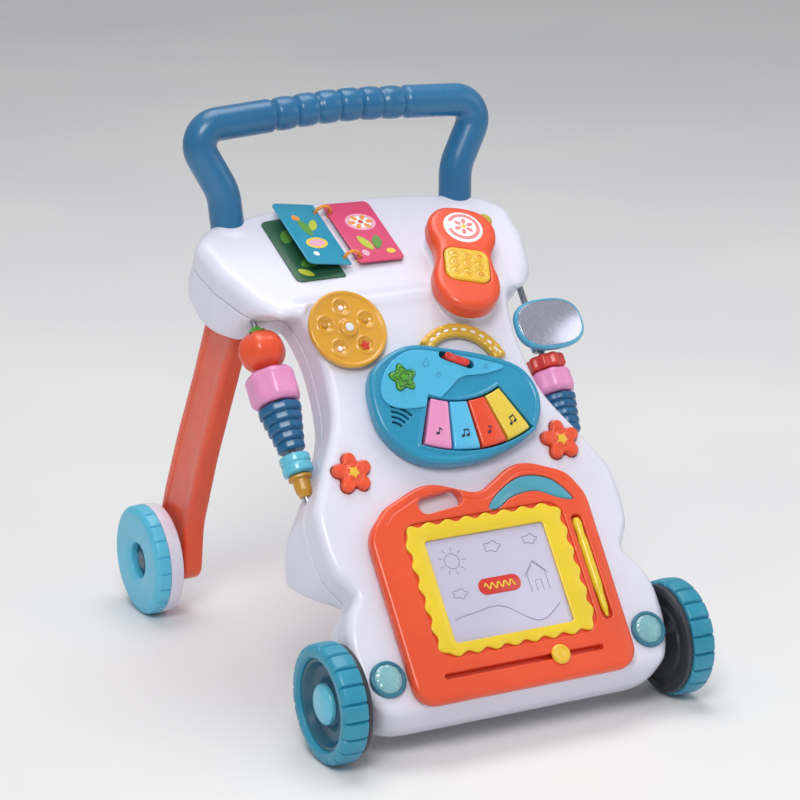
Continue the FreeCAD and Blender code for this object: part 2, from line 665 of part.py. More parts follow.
def wavy_frame(width, height, x, y, wave_height):
    """A rounded rectangle whose edge rises and falls in small waves."""
    points = []
    steps = 96
    for i in range(steps):
        angle = 2 * math.pi * i / steps
        bulge = (abs(math.cos(angle)) ** 8 + abs(math.sin(angle)) ** 8) ** (-1 / 8)
        swell = wave_height * math.sin(16 * angle)
        points.append((x + (width / 2 + swell) * bulge * math.cos(angle),
                       y + (height / 2 + swell) * bulge * math.sin(angle)))
    return smooth(points)


board = new_body("board_frame", on(FACE, 0, 0, GAP))
board_pad = pad(board, add_sketch(board, rounded_run(BOARD)), "dims.board_thick")
soften(board, board_pad, 4.0, BT)
pocket(board, add_sketch(board, wavy_frame(158, 122, -2, 53, 1.6), lift=BT), 3.0)
SCREEN_AT = SCREEN[3:]
screen_bed = rounded_box(SCREEN[0] + 6, SCREEN[1] + 6, 3, *SCREEN_AT)
pocket(board, add_sketch(board, screen_bed, lift=BT), 7.5)
finger = [c.copy() for c in rounded_box(44, 16, 7.6)]
for curve in finger:
    curve.rotate(Placement(Vector(), Rotation(Vector(0, 0, 1), 6)))
    curve.translate(Vector(-36, 131, 0))
pocket(board, add_sketch(board, finger, lift=BT), BT)
WINDOW = [(8, 118), (24, 132), (50, 142), (77, 135), (93, 114), (79, 116), (58, 126), (34, 124), (18, 116)]
pocket(board, add_sketch(board, smooth(WINDOW), lift=BT), 5.0)
PEN_X = 89
pocket(board, add_sketch(board, rounded_box(11, 100, 4, PEN_X, 49), lift=BT), 6.5)
SLOT_V = -24
pocket(board, add_sketch(board, rounded_box(158, 5, 2.4, -4, SLOT_V), lift=BT), 8.0)
keep(board)

bezel = new_body("board_bezel", on(FACE, 0, 0, GAP + BT - 3))
bezel_pad = pad(bezel, add_sketch(bezel, wavy_frame(158, 122, -2, 53, 1.6)), "dims.bezel_thick")
pocket(bezel, add_sketch(bezel, rounded_box(*SCREEN)), 5.0, upward=True)
keep(bezel)
screen = new_body("board_screen", on(FACE, 0, 0, GAP + BT - 5))
screen_edge = rounded_box(SCREEN[0] + 5, SCREEN[1] + 5, 3, *SCREEN_AT)
pad(screen, add_sketch(screen, screen_edge), "dims.screen_thick")
keep(screen)
window = new_body("board_window", on(FACE, 0, 0, GAP + BT - 5))
window_pad = pad(window, add_sketch(window, smooth(WINDOW)), 5.0)
keep(window)
knob = turned("eraser_slider", on(FACE, 31, SLOT_V, GAP + 5), [(0, 0), (2, 0), (2, BT - 4.7), (9, BT - 4.7),
                                                              (9, BT - 2), (7.5, BT - 0.6), (0, BT)])
keep(knob)
pen_seat = on(FACE, PEN_X, 2, GAP + BT - 1.6).multiply(Placement(Vector(), Rotation(Vector(1, 0, 0), -90)))
pen = turned("magnetic_pen", pen_seat, [(0, 0), (1.5, 1), (3, 8), (3.4, 22), (4.4, 30), (4.4, 70), (3.6, 78),
                                        (4.2, 88), (3, 93), (0, 94)])
keep(pen)

# ---------------------------------------------------------------- phone
PT = dim("phone_thick")
phone = new_body("phone_body", PHONE)
phone_pad = pad(phone, add_sketch(phone, smooth(PHONE_OUTLINE)), "dims.phone_thick")
soften(phone, phone_pad, 4.5, PT)
pocket(phone, add_sketch(phone, rounded_box(43, 41, 10, 0, -14), lift=PT), 6.0)
pocket(phone, add_sketch(phone, [Part.Circle(Vector(0, 34, 0), Vector(0, 0, 1), 19)], lift=PT), 2.0)
ear = turned("phone_ear", on(PHONE, 24, 55, 6), [(0, 0), (8, 0), (8, 7), (5.5, 9), (0, 9)])
keep(boolean("Fuse", "phone_shell", phone, ear))
keypad = new_body("phone_keypad", on(PHONE, 0, -14, PT - 4))
feature = pad(keypad, add_sketch(keypad, rounded_box(42, 40, 9.6)), 6.0)
soften(keypad, feature, 2.2, 6)
keep(keypad)
keep(turned("phone_dial", on(PHONE, 0, 34, PT - 2), [(0, 0), (19, 0), (19, 2), (17, 3), (8, 3.6),
                                                     (0, 3.6)]))

# ---------------------------------------------------------------- picture book
HINGE_X, HINGE_H = -30, 5
BOOK_LOW, BOOK_HIGH = 38, 128


def page(label, lean, reach, low, high):
    """A page standing off the hinge line, turned by lean degrees from lying towards +X."""
    hinge = on(HEAD, HINGE_X, low, HINGE_H)
    body = new_body(label, hinge.multiply(Placement(Vector(), Rotation(Vector(0, 1, 0), -lean))))
    thick = dim("page_thick")
    length = high - low
    start = dim("page_gap")
    corners = [(start, 0, 1.5), (reach, 0, 6), (reach, length, 6), (start, length, 1.5)]
    pad(body, add_sketch(body, rounded_run(corners), lift=-thick / 2), "dims.page_thick")
    for spot in RINGS:
        ring_hole = Part.Circle(Vector(dim("ring_radius"), spot - low, 0), Vector(0, 0, 1), 2.4)
        pocket(body, add_sketch(body, [ring_hole], lift=thick), 4.0)
    return body


RINGS = (50, 116)
back_page = new_body("book_page_left", on(HEAD, 0, 0, 0.1))
back_edge = rounded_run([(-92, 31, 6), (-43, 31, 2), (-43, 122, 2), (-92, 118, 6)])
pad(back_page, add_sketch(back_page, back_edge), 1.5)
keep(back_page, page("book_page_middle", 170, 50, 40, 128), page("book_page_right", -2, 52, 42, 128))
ring_parts = []
for i, spot in enumerate(RINGS):
    loop = doc.addObject("Part::Torus", "book_ring_%d" % i)
    loop.setExpression("Radius1", "dims.ring_radius")
    loop.setExpression("Radius2", "dims.ring_wire")
    across = Placement(Vector(), Rotation(Vector(1, 0, 0), 90))
    loop.Placement = on(HEAD, HINGE_X, spot, HINGE_H).multiply(across)
    ring_parts.append(loop)
keep(boolean("Cut", "book_rings", gathered("book_ring_loops", ring_parts),
             block("under_book", on(HEAD, -60, 20, -20), (60, 110, 20))))

# ---------------------------------------------------------------- side rollers
ROD_BORE = dim("rod_radius") + dim("running_gap")
side_rods = []
for name, side in SIDES:
    side_rods.append(rod("side_rod_" + name, along_rod(side, 152), "dims.rod_radius", 190.0))
keep(gathered("side_rods", side_rods))


def roller(label, side, low, profile):
    """A roller on a side rod: profile points are (radius, height above its lower end)."""
    top = profile[-1][1]
    return turned(label, along_rod(side, low), [(ROD_BORE, 0)] + profile + [(ROD_BORE, top)])


def ball(radius, length, steps=7):
    """Half of a flattened ball, as profile points from its lower end to its upper one."""
    points = []
    for i in range(steps + 1):
        angle = math.pi * (0.12 + 0.76 * i / steps) - math.pi / 2
        height = length / 2 * (1 + math.sin(angle) / math.sin(0.38 * math.pi))
        points.append((radius * math.cos(angle), height))
    return points


def barrel(radius, length):
    return [(radius - 4, 0), (radius - 1.2, 2), (radius, 6), (radius, length - 6),
            (radius - 1.2, length - 2), (radius - 4, length)]


def ribbed_cone(low_radius, high_radius, length, ribs=5):
    points = []
    for i in range(ribs):
        share = i / (ribs - 1)
        radius = low_radius + (high_radius - low_radius) * share
        base = length * i / ribs
        step = length / ribs
        points += [(radius - 1.6, base), (radius, base + step * 0.25), (radius, base + step * 0.75),
                   (radius - 1.6, base + step)]
    clean = [points[0]]
    for p in points[1:]:
        if abs(p[0] - clean[-1][0]) > 1e-6 or abs(p[1] - clean[-1][1]) > 1e-6:
            clean.append(p)
    return clean


fruit = roller("tomato_fruit", -1, 291, ball(22, 36))
stem = roller("tomato_stem", -1, 327, [(9, 0), (7, 2.5), (4.6, 5)])
keep(gathered("roller_tomato", [fruit, stem]))
keep(roller("roller_pink_left", -1, 257.5, barrel(23, 31)))
keep(roller("roller_cone_left", -1, 212.5, ribbed_cone(13, 20, 43)))
keep(roller("roller_ring_left", -1, 190, barrel(13.8, 19)))
keep(roller("roller_tip_left", -1, 169, [(5, 0), (7.5, 6), (8, 16), (11, 17), (11, 20)]))
keep(roller("roller_scalloped", 1, 250.5, barrel(19, 14)))
keep(roller("roller_pink_right", 1, 226.5, barrel(20.5, 23)))
keep(roller("roller_cone_right", 1, 188, ribbed_cone(13, 18, 37)))

# ---------------------------------------------------------------- mirror on the right rod
MIRROR_V = 290
mirror_seat = on(FACE, 142, MIRROR_V, -20)


def oval(width, height):
    points = []
    steps = 24
    for i in range(steps):
        angle = 2 * math.pi * i / steps
        bulge = (abs(math.cos(angle)) ** 2.6 + abs(math.sin(angle)) ** 2.6) ** (-1 / 2.6)
        points.append((width / 2 * bulge * math.cos(angle), height / 2 * bulge * math.sin(angle)))
    return smooth(points)


plate = new_body("mirror_plate", mirror_seat)
plate_pad = pad(plate, add_sketch(plate, oval(70, 50)), 9.0)
soften(plate, plate_pad, 2.0, 9)
pocket(plate, add_sketch(plate, oval(61, 41), lift=9), 2.0)
sleeve = turned("mirror_sleeve", along_rod(1, MIRROR_V - 18), [(ROD_BORE, 0), (8, 0), (8, 36),
                                                               (ROD_BORE, 36)])
stalk = block("mirror_stalk", on(FACE, 132, MIRROR_V - 9, -30), (9, 18, 12))
stalk_bore = rod("mirror_bore", along_rod(1, MIRROR_V - 30), "dims.rod_radius + dims.running_gap", 60.0)
mirror_arm = boolean("Fuse", "mirror_arm", plate, stalk)
mirror_blank = boolean("Fuse", "mirror_blank", mirror_arm, sleeve)
keep(boolean("Cut", "mirror_frame", mirror_blank, stalk_bore))
glass = new_body("mirror_glass", on(FACE, 142, MIRROR_V, -13))
pad(glass, add_sketch(glass, oval(61, 41)), 1.4)
keep(glass)

# ---------------------------------------------------------------- check and write
doc.recompute()
problems = []
for thing in doc.Objects:
    if "Invalid" in thing.State or "Error" in thing.State:
        problems.append("%s: %s" % (thing.Label, thing.State))
for node in NODES:
    if node.Shape.isNull() or not node.Shape.isValid() or not node.Shape.Solids:
        problems.append("%s has no valid solid" % node.Label)
if problems:
    raise SystemExit("\n".join(problems))
os.makedirs("parts", exist_ok=True)
for node in NODES:
    node.Shape.exportStep("parts/%s.step" % node.Label)
    print("%-24s %9.0f mm3  %d solid(s)" % (node.Label, node.Shape.Volume, len(node.Shape.Solids)))
print(len(NODES), "sub-parts")
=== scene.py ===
"""Looks of the push-along activity walker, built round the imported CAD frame.

Shapes are worked out in millimetres in the frame of the face, the head, the phone or a rod, and go
into the scene in metres. Moulded pieces come from distance fields, so their edges blend as plastic does."""
import json
import math

import bmesh
import bpy
import numpy as np
from mathutils import Matrix, Vector


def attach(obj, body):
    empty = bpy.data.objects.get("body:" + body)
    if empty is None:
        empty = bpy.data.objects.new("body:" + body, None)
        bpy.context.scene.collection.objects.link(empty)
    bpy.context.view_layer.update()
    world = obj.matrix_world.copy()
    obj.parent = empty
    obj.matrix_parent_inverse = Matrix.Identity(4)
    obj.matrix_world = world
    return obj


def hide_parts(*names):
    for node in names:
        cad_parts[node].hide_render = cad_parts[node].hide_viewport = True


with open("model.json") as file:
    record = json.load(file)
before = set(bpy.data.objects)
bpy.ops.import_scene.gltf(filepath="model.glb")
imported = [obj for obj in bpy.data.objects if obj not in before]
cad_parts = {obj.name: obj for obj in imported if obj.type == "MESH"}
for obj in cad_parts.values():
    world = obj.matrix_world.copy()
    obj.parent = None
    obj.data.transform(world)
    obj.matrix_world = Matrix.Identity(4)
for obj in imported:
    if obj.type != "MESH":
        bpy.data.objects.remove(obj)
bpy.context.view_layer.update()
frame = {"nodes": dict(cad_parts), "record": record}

MM = 0.001
CREASE = math.radians(38)
SHARPEST = 0.05
ALMOST_UP = math.pi / 2 - 0.02
SIDES = (("left", -1), ("right", 1))
JOINTS = {joint["name"]: joint for joint in frame["record"]["behaviour"]["joints"]}


# ------------------------------------------------------------------ frames, in millimetres
def frame_of(normal, up, origin):
    """A matrix whose X is the row's X, Y runs up the slope and Z stands off it."""
    rows = [Vector((1, 0, 0)), Vector(up), Vector(normal)]
    matrix = Matrix.Identity(4)
    for column, axis in enumerate(rows):
        for row in range(3):
            matrix[row][column] = axis[row]
    matrix.translation = origin
    return matrix


def slope_origin(joint, up, normal, x, v, n):
    """Where a sloping frame starts, from a joint that lies at x, v, n in it."""
    spot = Vector(JOINTS[joint]["pos_m"]) / MM
    return spot - Vector((x, 0, 0)) - Vector(up) * v - Vector(normal) * n


FACE_N = Vector(JOINTS["disc_spin"]["axis"])
FACE_T = Vector(JOINTS["roller_tomato_spin"]["axis"])
HEAD_T = Vector(JOINTS["book_middle_turn"]["axis"])
HEAD_N = Vector((1, 0, 0)).cross(HEAD_T)
PHONE_N = Vector(JOINTS["phone_lift"]["axis"])
PHONE_T = PHONE_N.cross(Vector((1, 0, 0)))
FACE = frame_of(FACE_N, FACE_T, slope_origin("disc_spin", FACE_T, FACE_N, -69, 304, 5))
HEAD = frame_of(HEAD_N, HEAD_T, slope_origin("book_middle_turn", HEAD_T, HEAD_N, -30, 80, 5))
PHONE = frame_of(PHONE_N, PHONE_T, Vector((66, -1.6, 359.2))) @ Matrix.Rotation(math.radians(-20), 4, "Z")
ROD_X, ROD_DEPTH = 136.5, -35


def at(base, x, v, n=0, turn=0):
    return base @ Matrix.Translation((x, v, n)) @ Matrix.Rotation(math.radians(turn), 4, "Z")


def rod_frame(side, v):
    """A frame whose Z runs up a side roller rod."""
    return at(FACE, side * ROD_X, v, ROD_DEPTH) @ Matrix.Rotation(math.radians(-90), 4, "X")


def wheel_frame(side, outside, joint):
    """A frame whose Z points outwards along a wheel's axle, from the wheel's inner face."""
    hub = Vector(JOINTS[joint]["pos_m"]) / MM
    hub.x = side * (outside - WHEEL_WIDTH)
    return Matrix.Translation(hub) @ Matrix.Rotation(math.radians(side * 90), 4, "Y")


WHEEL_WIDTH = 28


# ------------------------------------------------------------------ materials
def plain_nodes(name):
    material = bpy.data.materials.new(name)
    material.use_nodes = True
    tree = material.node_tree
    shader = tree.nodes["Principled BSDF"]
    return material, tree, shader


def linear(rgb):
    """A colour given in 0-255 display values, as the linear values that shaders use."""
    return [(c / 255 / 12.92 if c / 255 <= 0.04045 else ((c / 255 + 0.055) / 1.055) ** 2.4) for c in rgb]


def noise(tree, coords, scale, detail=2.0):
    node = tree.nodes.new("ShaderNodeTexNoise")
    node.inputs["Scale"].default_value = scale
    node.inputs["Detail"].default_value = detail
    tree.links.new(coords.outputs["Object"], node.inputs["Vector"])
    return node


def ramp(tree, source, low, high, start, end):
    node = tree.nodes.new("ShaderNodeMapRange")
    node.inputs["From Min"].default_value = low
    node.inputs["From Max"].default_value = high
    node.inputs["To Min"].default_value = start
    node.inputs["To Max"].default_value = end
    tree.links.new(source, node.inputs["Value"])
    return node.outputs["Result"]


def blended(tree, factor, first, second):
    node = tree.nodes.new("ShaderNodeMix")
    node.data_type = "RGBA"
    for socket, value in ((node.inputs["A"], first), (node.inputs["B"], second)):
        if isinstance(value, bpy.types.NodeSocket):
            tree.links.new(value, socket)
        else:
            socket.default_value = (*value, 1)
    if isinstance(factor, bpy.types.NodeSocket):
        tree.links.new(factor, node.inputs["Factor"])
    else:
        node.inputs["Factor"].default_value = factor
    return node.outputs["Result"]


def plastic(name, rgb, rough=0.34, depth=0.12, grain=0.05, coat=0.25, clear=0.0, soft=0.0, wear=0.35):
    """Moulded plastic: faint flow mottling, fine moulding grain, uneven gloss and paler worn edges."""
    material, tree, shader = plain_nodes(name)
    coords = tree.nodes.new("ShaderNodeTexCoord")
    colour = linear(rgb)
    deep = [c * (1 - depth) for c in colour]
    pale = [c + (1 - c) * 0.16 for c in colour]
    flow = noise(tree, coords, 14, 3)
    mottled = blended(tree, ramp(tree, flow.outputs["Fac"], 0.35, 0.65, 0, 1), deep, colour)
    geometry = tree.nodes.new("ShaderNodeNewGeometry")
    edge = ramp(tree, geometry.outputs["Pointiness"], 0.52, 0.62, 0, wear)
    tree.links.new(blended(tree, edge, mottled, pale), shader.inputs["Base Color"])
    smear = noise(tree, coords, 60, 4)
    tree.links.new(ramp(tree, smear.outputs["Fac"], 0.3, 0.7, rough - 0.05, rough + 0.07), shader.inputs["Roughness"])
    fine = noise(tree, coords, 900, 2)
    bump = tree.nodes.new("ShaderNodeBump")
    bump.inputs["Strength"].default_value = grain
    bump.inputs["Distance"].default_value = 0.0004
    tree.links.new(fine.outputs["Fac"], bump.inputs["Height"])
    tree.links.new(bump.outputs["Normal"], shader.inputs["Normal"])
    shader.inputs["Coat Weight"].default_value = coat
    shader.inputs["Coat Roughness"].default_value = 0.16
    shader.inputs["IOR"].default_value = 1.49
    if clear:
        shader.inputs["Transmission Weight"].default_value = clear
    if soft:
        shader.inputs["Subsurface Weight"].default_value = soft
        shader.inputs["Subsurface Radius"].default_value = (0.006, 0.005, 0.004)
        shader.inputs["Subsurface Scale"].default_value = 1.0
    return material


def metal(name, rgb, rough, anisotropy=0.0):
    """Drawn or polished metal with fine scratches."""
    material, tree, shader = plain_nodes(name)
    coords = tree.nodes.new("ShaderNodeTexCoord")
    colour = linear(rgb)
    scratch = noise(tree, coords, 300, 5)
    tone = ramp(tree, scratch.outputs["Fac"], 0.3, 0.7, 0, 1)
    tree.links.new(blended(tree, tone, [c * 0.9 for c in colour], colour), shader.inputs["Base Color"])
    tree.links.new(ramp(tree, scratch.outputs["Fac"], 0.3, 0.7, rough, rough + 0.05), shader.inputs["Roughness"])
    shader.inputs["Metallic"].default_value = 1.0
    if anisotropy:
        shader.inputs["Anisotropic"].default_value = anisotropy
    return material


# colour in display values, roughness, depth of the mottling, then anything special
PLASTICS = {
    "panel_white": ((228, 228, 243), 0.36, 0.05, {"soft": 0.1, "wear": 0.2}),
    "handle_blue": ((38, 112, 160), 0.3, 0.14, {}),
    "orange_red": ((238, 84, 44), 0.33, 0.1, {}),
    "wheel_teal": ((40, 148, 180), 0.42, 0.14, {}),
    "rim_teal": ((26, 92, 118), 0.32, 0.14, {}),
    "charcoal": ((44, 48, 58), 0.5, 0.1, {}),
    "cap_cyan": ((100, 196, 222), 0.24, 0.08, {"coat": 0.5}),
    "wheel_cyan": ((90, 196, 230), 0.36, 0.1, {}),
    "wheel_white": ((228, 226, 240), 0.42, 0.06, {}),
    "hub_blue": ((24, 66, 98), 0.34, 0.12, {}),
    "lens": ((150, 212, 222), 0.12, 0.1, {"grain": 0.0, "coat": 0.8, "clear": 0.25}),
    "lens_ring": ((50, 124, 150), 0.3, 0.1, {}),
    "disc_amber": ((240, 176, 52), 0.2, 0.12, {"grain": 0.02, "coat": 0.6, "clear": 0.12, "soft": 0.2}),
    "piano_teal": ((38, 150, 190), 0.3, 0.12, {}),
    "wave_cyan": ((78, 184, 226), 0.28, 0.08, {}),
    "key_pink": ((236, 150, 198), 0.24, 0.06, {"coat": 0.5}),
    "key_cyan": ((88, 192, 236), 0.24, 0.06, {"coat": 0.5}),
    "key_red": ((238, 78, 44), 0.24, 0.06, {"coat": 0.5}),
    "key_yellow": ((238, 208, 70), 0.24, 0.06, {"coat": 0.5}),
    "star_green": ((84, 166, 44), 0.26, 0.08, {"coat": 0.5}),
    "slider_red": ((216, 50, 38), 0.26, 0.08, {"coat": 0.5}),
    "arch_yellow": ((236, 186, 52), 0.2, 0.1, {"grain": 0.02, "coat": 0.6, "clear": 0.12, "soft": 0.2}),
    "bezel_yellow": ((240, 208, 46), 0.3, 0.08, {}),
    "screen_lilac": ((204, 200, 224), 0.16, 0.06, {"grain": 0.0, "coat": 0.5}),
    "window_cyan": ((92, 190, 216), 0.12, 0.12, {"grain": 0.0, "coat": 0.8, "clear": 0.3}),
    "keypad_yellow": ((238, 192, 52), 0.26, 0.08, {"coat": 0.4}),
    "dial_pink": ((236, 132, 134), 0.3, 0.08, {}),
    "ear_green": ((186, 178, 52), 0.3, 0.08, {}),
    "roller_pink": ((236, 152, 202), 0.32, 0.1, {}),
    "roller_red": ((222, 62, 52), 0.3, 0.1, {}),
    "cone_blue": ((22, 98, 146), 0.3, 0.14, {}),
    "tip_ochre": ((206, 148, 46), 0.34, 0.12, {}),
    "mirror_blue": ((78, 176, 212), 0.26, 0.08, {"coat": 0.5}),
    "ring_orange": ((242, 152, 48), 0.28, 0.08, {}),
    "ink_dark": ((38, 44, 66), 0.45, 0.05, {"wear": 0}),
    "ink_grey": ((150, 146, 174), 0.5, 0.05, {"wear": 0}),
    "print_white": ((246, 244, 248), 0.4, 0.03, {"wear": 0}),
    "print_green": ((96, 158, 62), 0.4, 0.12, {"wear": 0}),
    "print_dark_green": ((38, 92, 62), 0.4, 0.12, {"wear": 0}),
    "print_teal": ((40, 152, 186), 0.3, 0.1, {"wear": 0.2}),
    "print_pink": ((226, 70, 118), 0.36, 0.1, {"wear": 0}),
    "print_rose": ((240, 176, 200), 0.36, 0.06, {"wear": 0}),
    "print_lime": ((196, 206, 66), 0.4, 0.08, {"wear": 0}),
    "circuit_green": ((24, 96, 52), 0.4, 0.1, {}),
    "dark_part": ((34, 36, 42), 0.45, 0.1, {}),
    "cell_wrap": ((50, 52, 60), 0.3, 0.1, {}),
}
COLOURS = {name: plastic(name, rgb, rough, depth, **special)
           for name, (rgb, rough, depth, special) in PLASTICS.items()}
COLOURS["steel"] = metal("steel", (176, 178, 184), 0.24, 0.4)
COLOURS["mirror"] = metal("mirror", (230, 230, 250), 0.16)


def dress(piece, body, node, slot, material=None):
    """Gives a piece its material and body, and hides the CAD node it stands for, if any."""
    piece.data.materials.clear()
    piece.data.materials.append(COLOURS[material or slot])
    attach(piece, body)
    if node:
        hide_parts(node)


# ------------------------------------------------------------------ curves in a plane
def rounded(corners, steps=7):
    """Points of a closed outline whose corners are (x, y, radius) and turn on arcs."""
    points = []
    count = len(corners)
    for i, (x, y, radius) in enumerate(corners):
        corner = np.array((x, y), float)
        before = np.array(corners[i - 1][:2], float) - corner
        after = np.array(corners[(i + 1) % count][:2], float) - corner
        before /= np.linalg.norm(before)
        after /= np.linalg.norm(after)
        half = math.acos(np.clip(before @ after, -1, 1)) / 2
        middle = before + after
        if np.linalg.norm(middle) < 1e-6:
            points.append((x, y))
            continue
        middle /= np.linalg.norm(middle)
        centre = corner + middle * radius / math.sin(half)
        start = corner + before * radius / math.tan(half) - centre
        end = corner + after * radius / math.tan(half) - centre
        first = math.atan2(start[1], start[0])
        swing = (math.atan2(end[1], end[0]) - first + math.pi) % (2 * math.pi) - math.pi
        for k in range(steps + 1):
            angle = first + swing * k / steps
            points.append((centre[0] + radius * math.cos(angle), centre[1] + radius * math.sin(angle)))
    return points


def rounded_box(width, height, radius, x=0, y=0):
    a, b = width / 2, height / 2
    return rounded([(x - a, y - b, radius), (x + a, y - b, radius), (x + a, y + b, radius), (x - a, y + b, radius)])


def smooth(points, steps=6, closed=True):
    """A curve through the points, each stretch shaped by its neighbours."""
    knots = [np.array(p, float) for p in points]
    count = len(knots)
    result = []
    for i in range(count if closed else count - 1):
        if closed:
            a, b, c, d = (knots[(i + k) % count] for k in (-1, 0, 1, 2))
        else:
            a, b, c, d = (knots[min(max(i + k, 0), count - 1)] for k in (-1, 0, 1, 2))
        for k in range(steps):
            t = k / steps
            point = 0.5 * (2 * b + (c - a) * t + (2 * a - 5 * b + 4 * c - d) * t ** 2
                           + (3 * b - a - 3 * c + d) * t ** 3)
            result.append(tuple(point))
    if not closed:
        result.append(tuple(knots[-1]))
    return result


def petals(count, mean, swing, turn=90, x=0, y=0, blunt=0.0):
    """A flower or star outline: its radius swings about the mean once for each petal, and blunt widens the petals."""
    points = []
    for i in range(count * 16):
        angle = 2 * math.pi * i / (count * 16)
        radius = mean + swing * (math.cos(count * angle) - blunt * math.cos(2 * count * angle))
        aim = angle + math.radians(turn)
        points.append((x + radius * math.cos(aim), y + radius * math.sin(aim)))
    return points


def ring_sector(x, y, inner, outer, low, high, steps=24):
    """Part of a flat ring between two angles in degrees."""
    angles = [math.radians(low + (high - low) * i / steps) for i in range(steps + 1)]
    out = [(x + outer * math.cos(a), y + outer * math.sin(a)) for a in angles]
    back = [(x + inner * math.cos(a), y + inner * math.sin(a)) for a in reversed(angles)]
    return out + back


def oval(width, height, power=2.0, steps=72, x=0, y=0):
    points = []
    for i in range(steps):
        angle = 2 * math.pi * i / steps
        bulge = (abs(math.cos(angle)) ** power + abs(math.sin(angle)) ** power) ** (-1 / power)
        points.append((x + width / 2 * bulge * math.cos(angle), y + height / 2 * bulge * math.sin(angle)))
    return points


def spun(points, turn, x=0, y=0):
    """Points turned about the origin by degrees, then moved."""
    c, s = math.cos(math.radians(turn)), math.sin(math.radians(turn))
    return [(x + p * c - q * s, y + p * s + q * c) for p, q in points]


# ------------------------------------------------------------------ distance fields
class Outline:
    """Signed distance to a closed outline, negative inside, kept on a lattice and read between its points."""

    def __init__(self, points, step=1.0, margin=14.0, soft=0):
        loop = np.array(points, float)
        self.low = loop.min(0) - margin
        size = loop.max(0) + margin - self.low
        counts = np.ceil(size / step).astype(int) + 1
        xs = self.low[0] + np.arange(counts[0]) * step
        ys = self.low[1] + np.arange(counts[1]) * step
        gx, gy = np.meshgrid(xs, ys, indexing="ij")
        nearest = np.full(gx.shape, 1e9)
        crossings = np.zeros(gx.shape, int)
        for a, b in zip(loop, np.roll(loop, -1, 0)):
            run = b - a
            length = run @ run
            if length < 1e-12:
                continue
            t = np.clip(((gx - a[0]) * run[0] + (gy - a[1]) * run[1]) / length, 0, 1)
            nearest = np.minimum(nearest, (gx - a[0] - t * run[0]) ** 2 + (gy - a[1] - t * run[1]) ** 2)
            if a[1] != b[1]:
                spans = (gy >= min(a[1], b[1])) & (gy < max(a[1], b[1]))
                crossings += spans & (gx < a[0] + (gy - a[1]) * run[0] / run[1])
        field = np.sqrt(nearest) * np.where(crossings % 2, -1, 1)
        for _ in range(soft):
            for axis in (0, 1):
                field = (np.roll(field, 1, axis) + field + np.roll(field, -1, axis)) / 3
        self.field, self.step, self.counts = field.astype(np.float32), step, counts

    def __call__(self, x, y):
        x, y = np.broadcast_arrays(x, y)
        u = np.clip((x - self.low[0]) / self.step, 0, self.counts[0] - 1.001)
        v = np.clip((y - self.low[1]) / self.step, 0, self.counts[1] - 1.001)
        i, j = u.astype(np.int32), v.astype(np.int32)
        u, v = u - i, v - j
        f = self.field
        return ((f[i, j] * (1 - u) + f[i + 1, j] * u) * (1 - v) + (f[i, j + 1] * (1 - u) + f[i + 1, j + 1] * u) * v)


def both(a, b, radius):
    """Where two fields overlap, with the edge between them rounded."""
    p, q = a + radius, b + radius
    return np.minimum(np.maximum(p, q), 0) + np.hypot(np.maximum(p, 0), np.maximum(q, 0)) - radius


def joined(a, b, blend):
    share = np.clip(0.5 + 0.5 * (b - a) / blend, 0, 1)
    return b + (a - b) * share - blend * share * (1 - share)


def carved(a, b, blend):
    """The first field with the second cut away, the edge of the cut softened."""
    return -joined(-a, b, blend)


def slab(n, low, high):
    return np.maximum(low - n, n - high)


def surface_net(field, origin, step):
    """Vertices and quads of the surface where the field is zero."""
    inside = field < 0
    shape = np.array(field.shape) - 1
    mixed = np.zeros(shape, bool)
    first = inside[:-1, :-1, :-1]
    corners = [(i, j, k) for i in (0, 1) for j in (0, 1) for k in (0, 1)]
    for i, j, k in corners[1:]:
        mixed |= inside[i:shape[0] + i, j:shape[1] + j, k:shape[2] + k] != first
    cells = np.argwhere(mixed)
    number = np.full(shape, -1, np.int32)
    number[mixed] = np.arange(len(cells))
    values = {c: field[cells[:, 0] + c[0], cells[:, 1] + c[1], cells[:, 2] + c[2]] for c in corners}
    total = np.zeros((len(cells), 3))
    hits = np.zeros(len(cells))
    for c in corners:
        for axis in range(3):
            if c[axis]:
                continue
            d = tuple(c[m] + (m == axis) for m in range(3))
            a, b = values[c], values[d]
            crosses = (a < 0) != (b < 0)
            share = np.where(crosses, a / np.where(crosses, a - b, 1), 0)
            spot = np.array(c, float) + share[:, None] * np.eye(3)[axis]
            total += spot * crosses[:, None]
            hits += crosses
    points = (cells + total / hits[:, None]) * step + origin
    quads = []
    for axis in range(3):
        low = [slice(None)] * 3
        high = [slice(None)] * 3
        low[axis], high[axis] = slice(None, -1), slice(1, None)
        crosses = inside[tuple(low)] != inside[tuple(high)]
        spots = np.argwhere(crosses)
        p, q = [m for m in range(3) if m != axis]
        ok = (spots[:, p] > 0) & (spots[:, q] > 0) & (spots[:, p] < shape[p]) & (spots[:, q] < shape[q])
        spots = spots[ok]
        ring = []
        for dp, dq in ((1, 1), (0, 1), (0, 0), (1, 0)):
            cell = spots.copy()
            cell[:, p] -= dp
            cell[:, q] -= dq
            ring.append(number[cell[:, 0], cell[:, 1], cell[:, 2]])
        quad = np.stack(ring, 1)
        leaving = inside[spots[:, 0], spots[:, 1], spots[:, 2]]
        flip = leaving if axis == 1 else ~leaving
        quad[flip] = quad[flip][:, ::-1]
        quads.append(quad)
    return points, np.concatenate(quads)


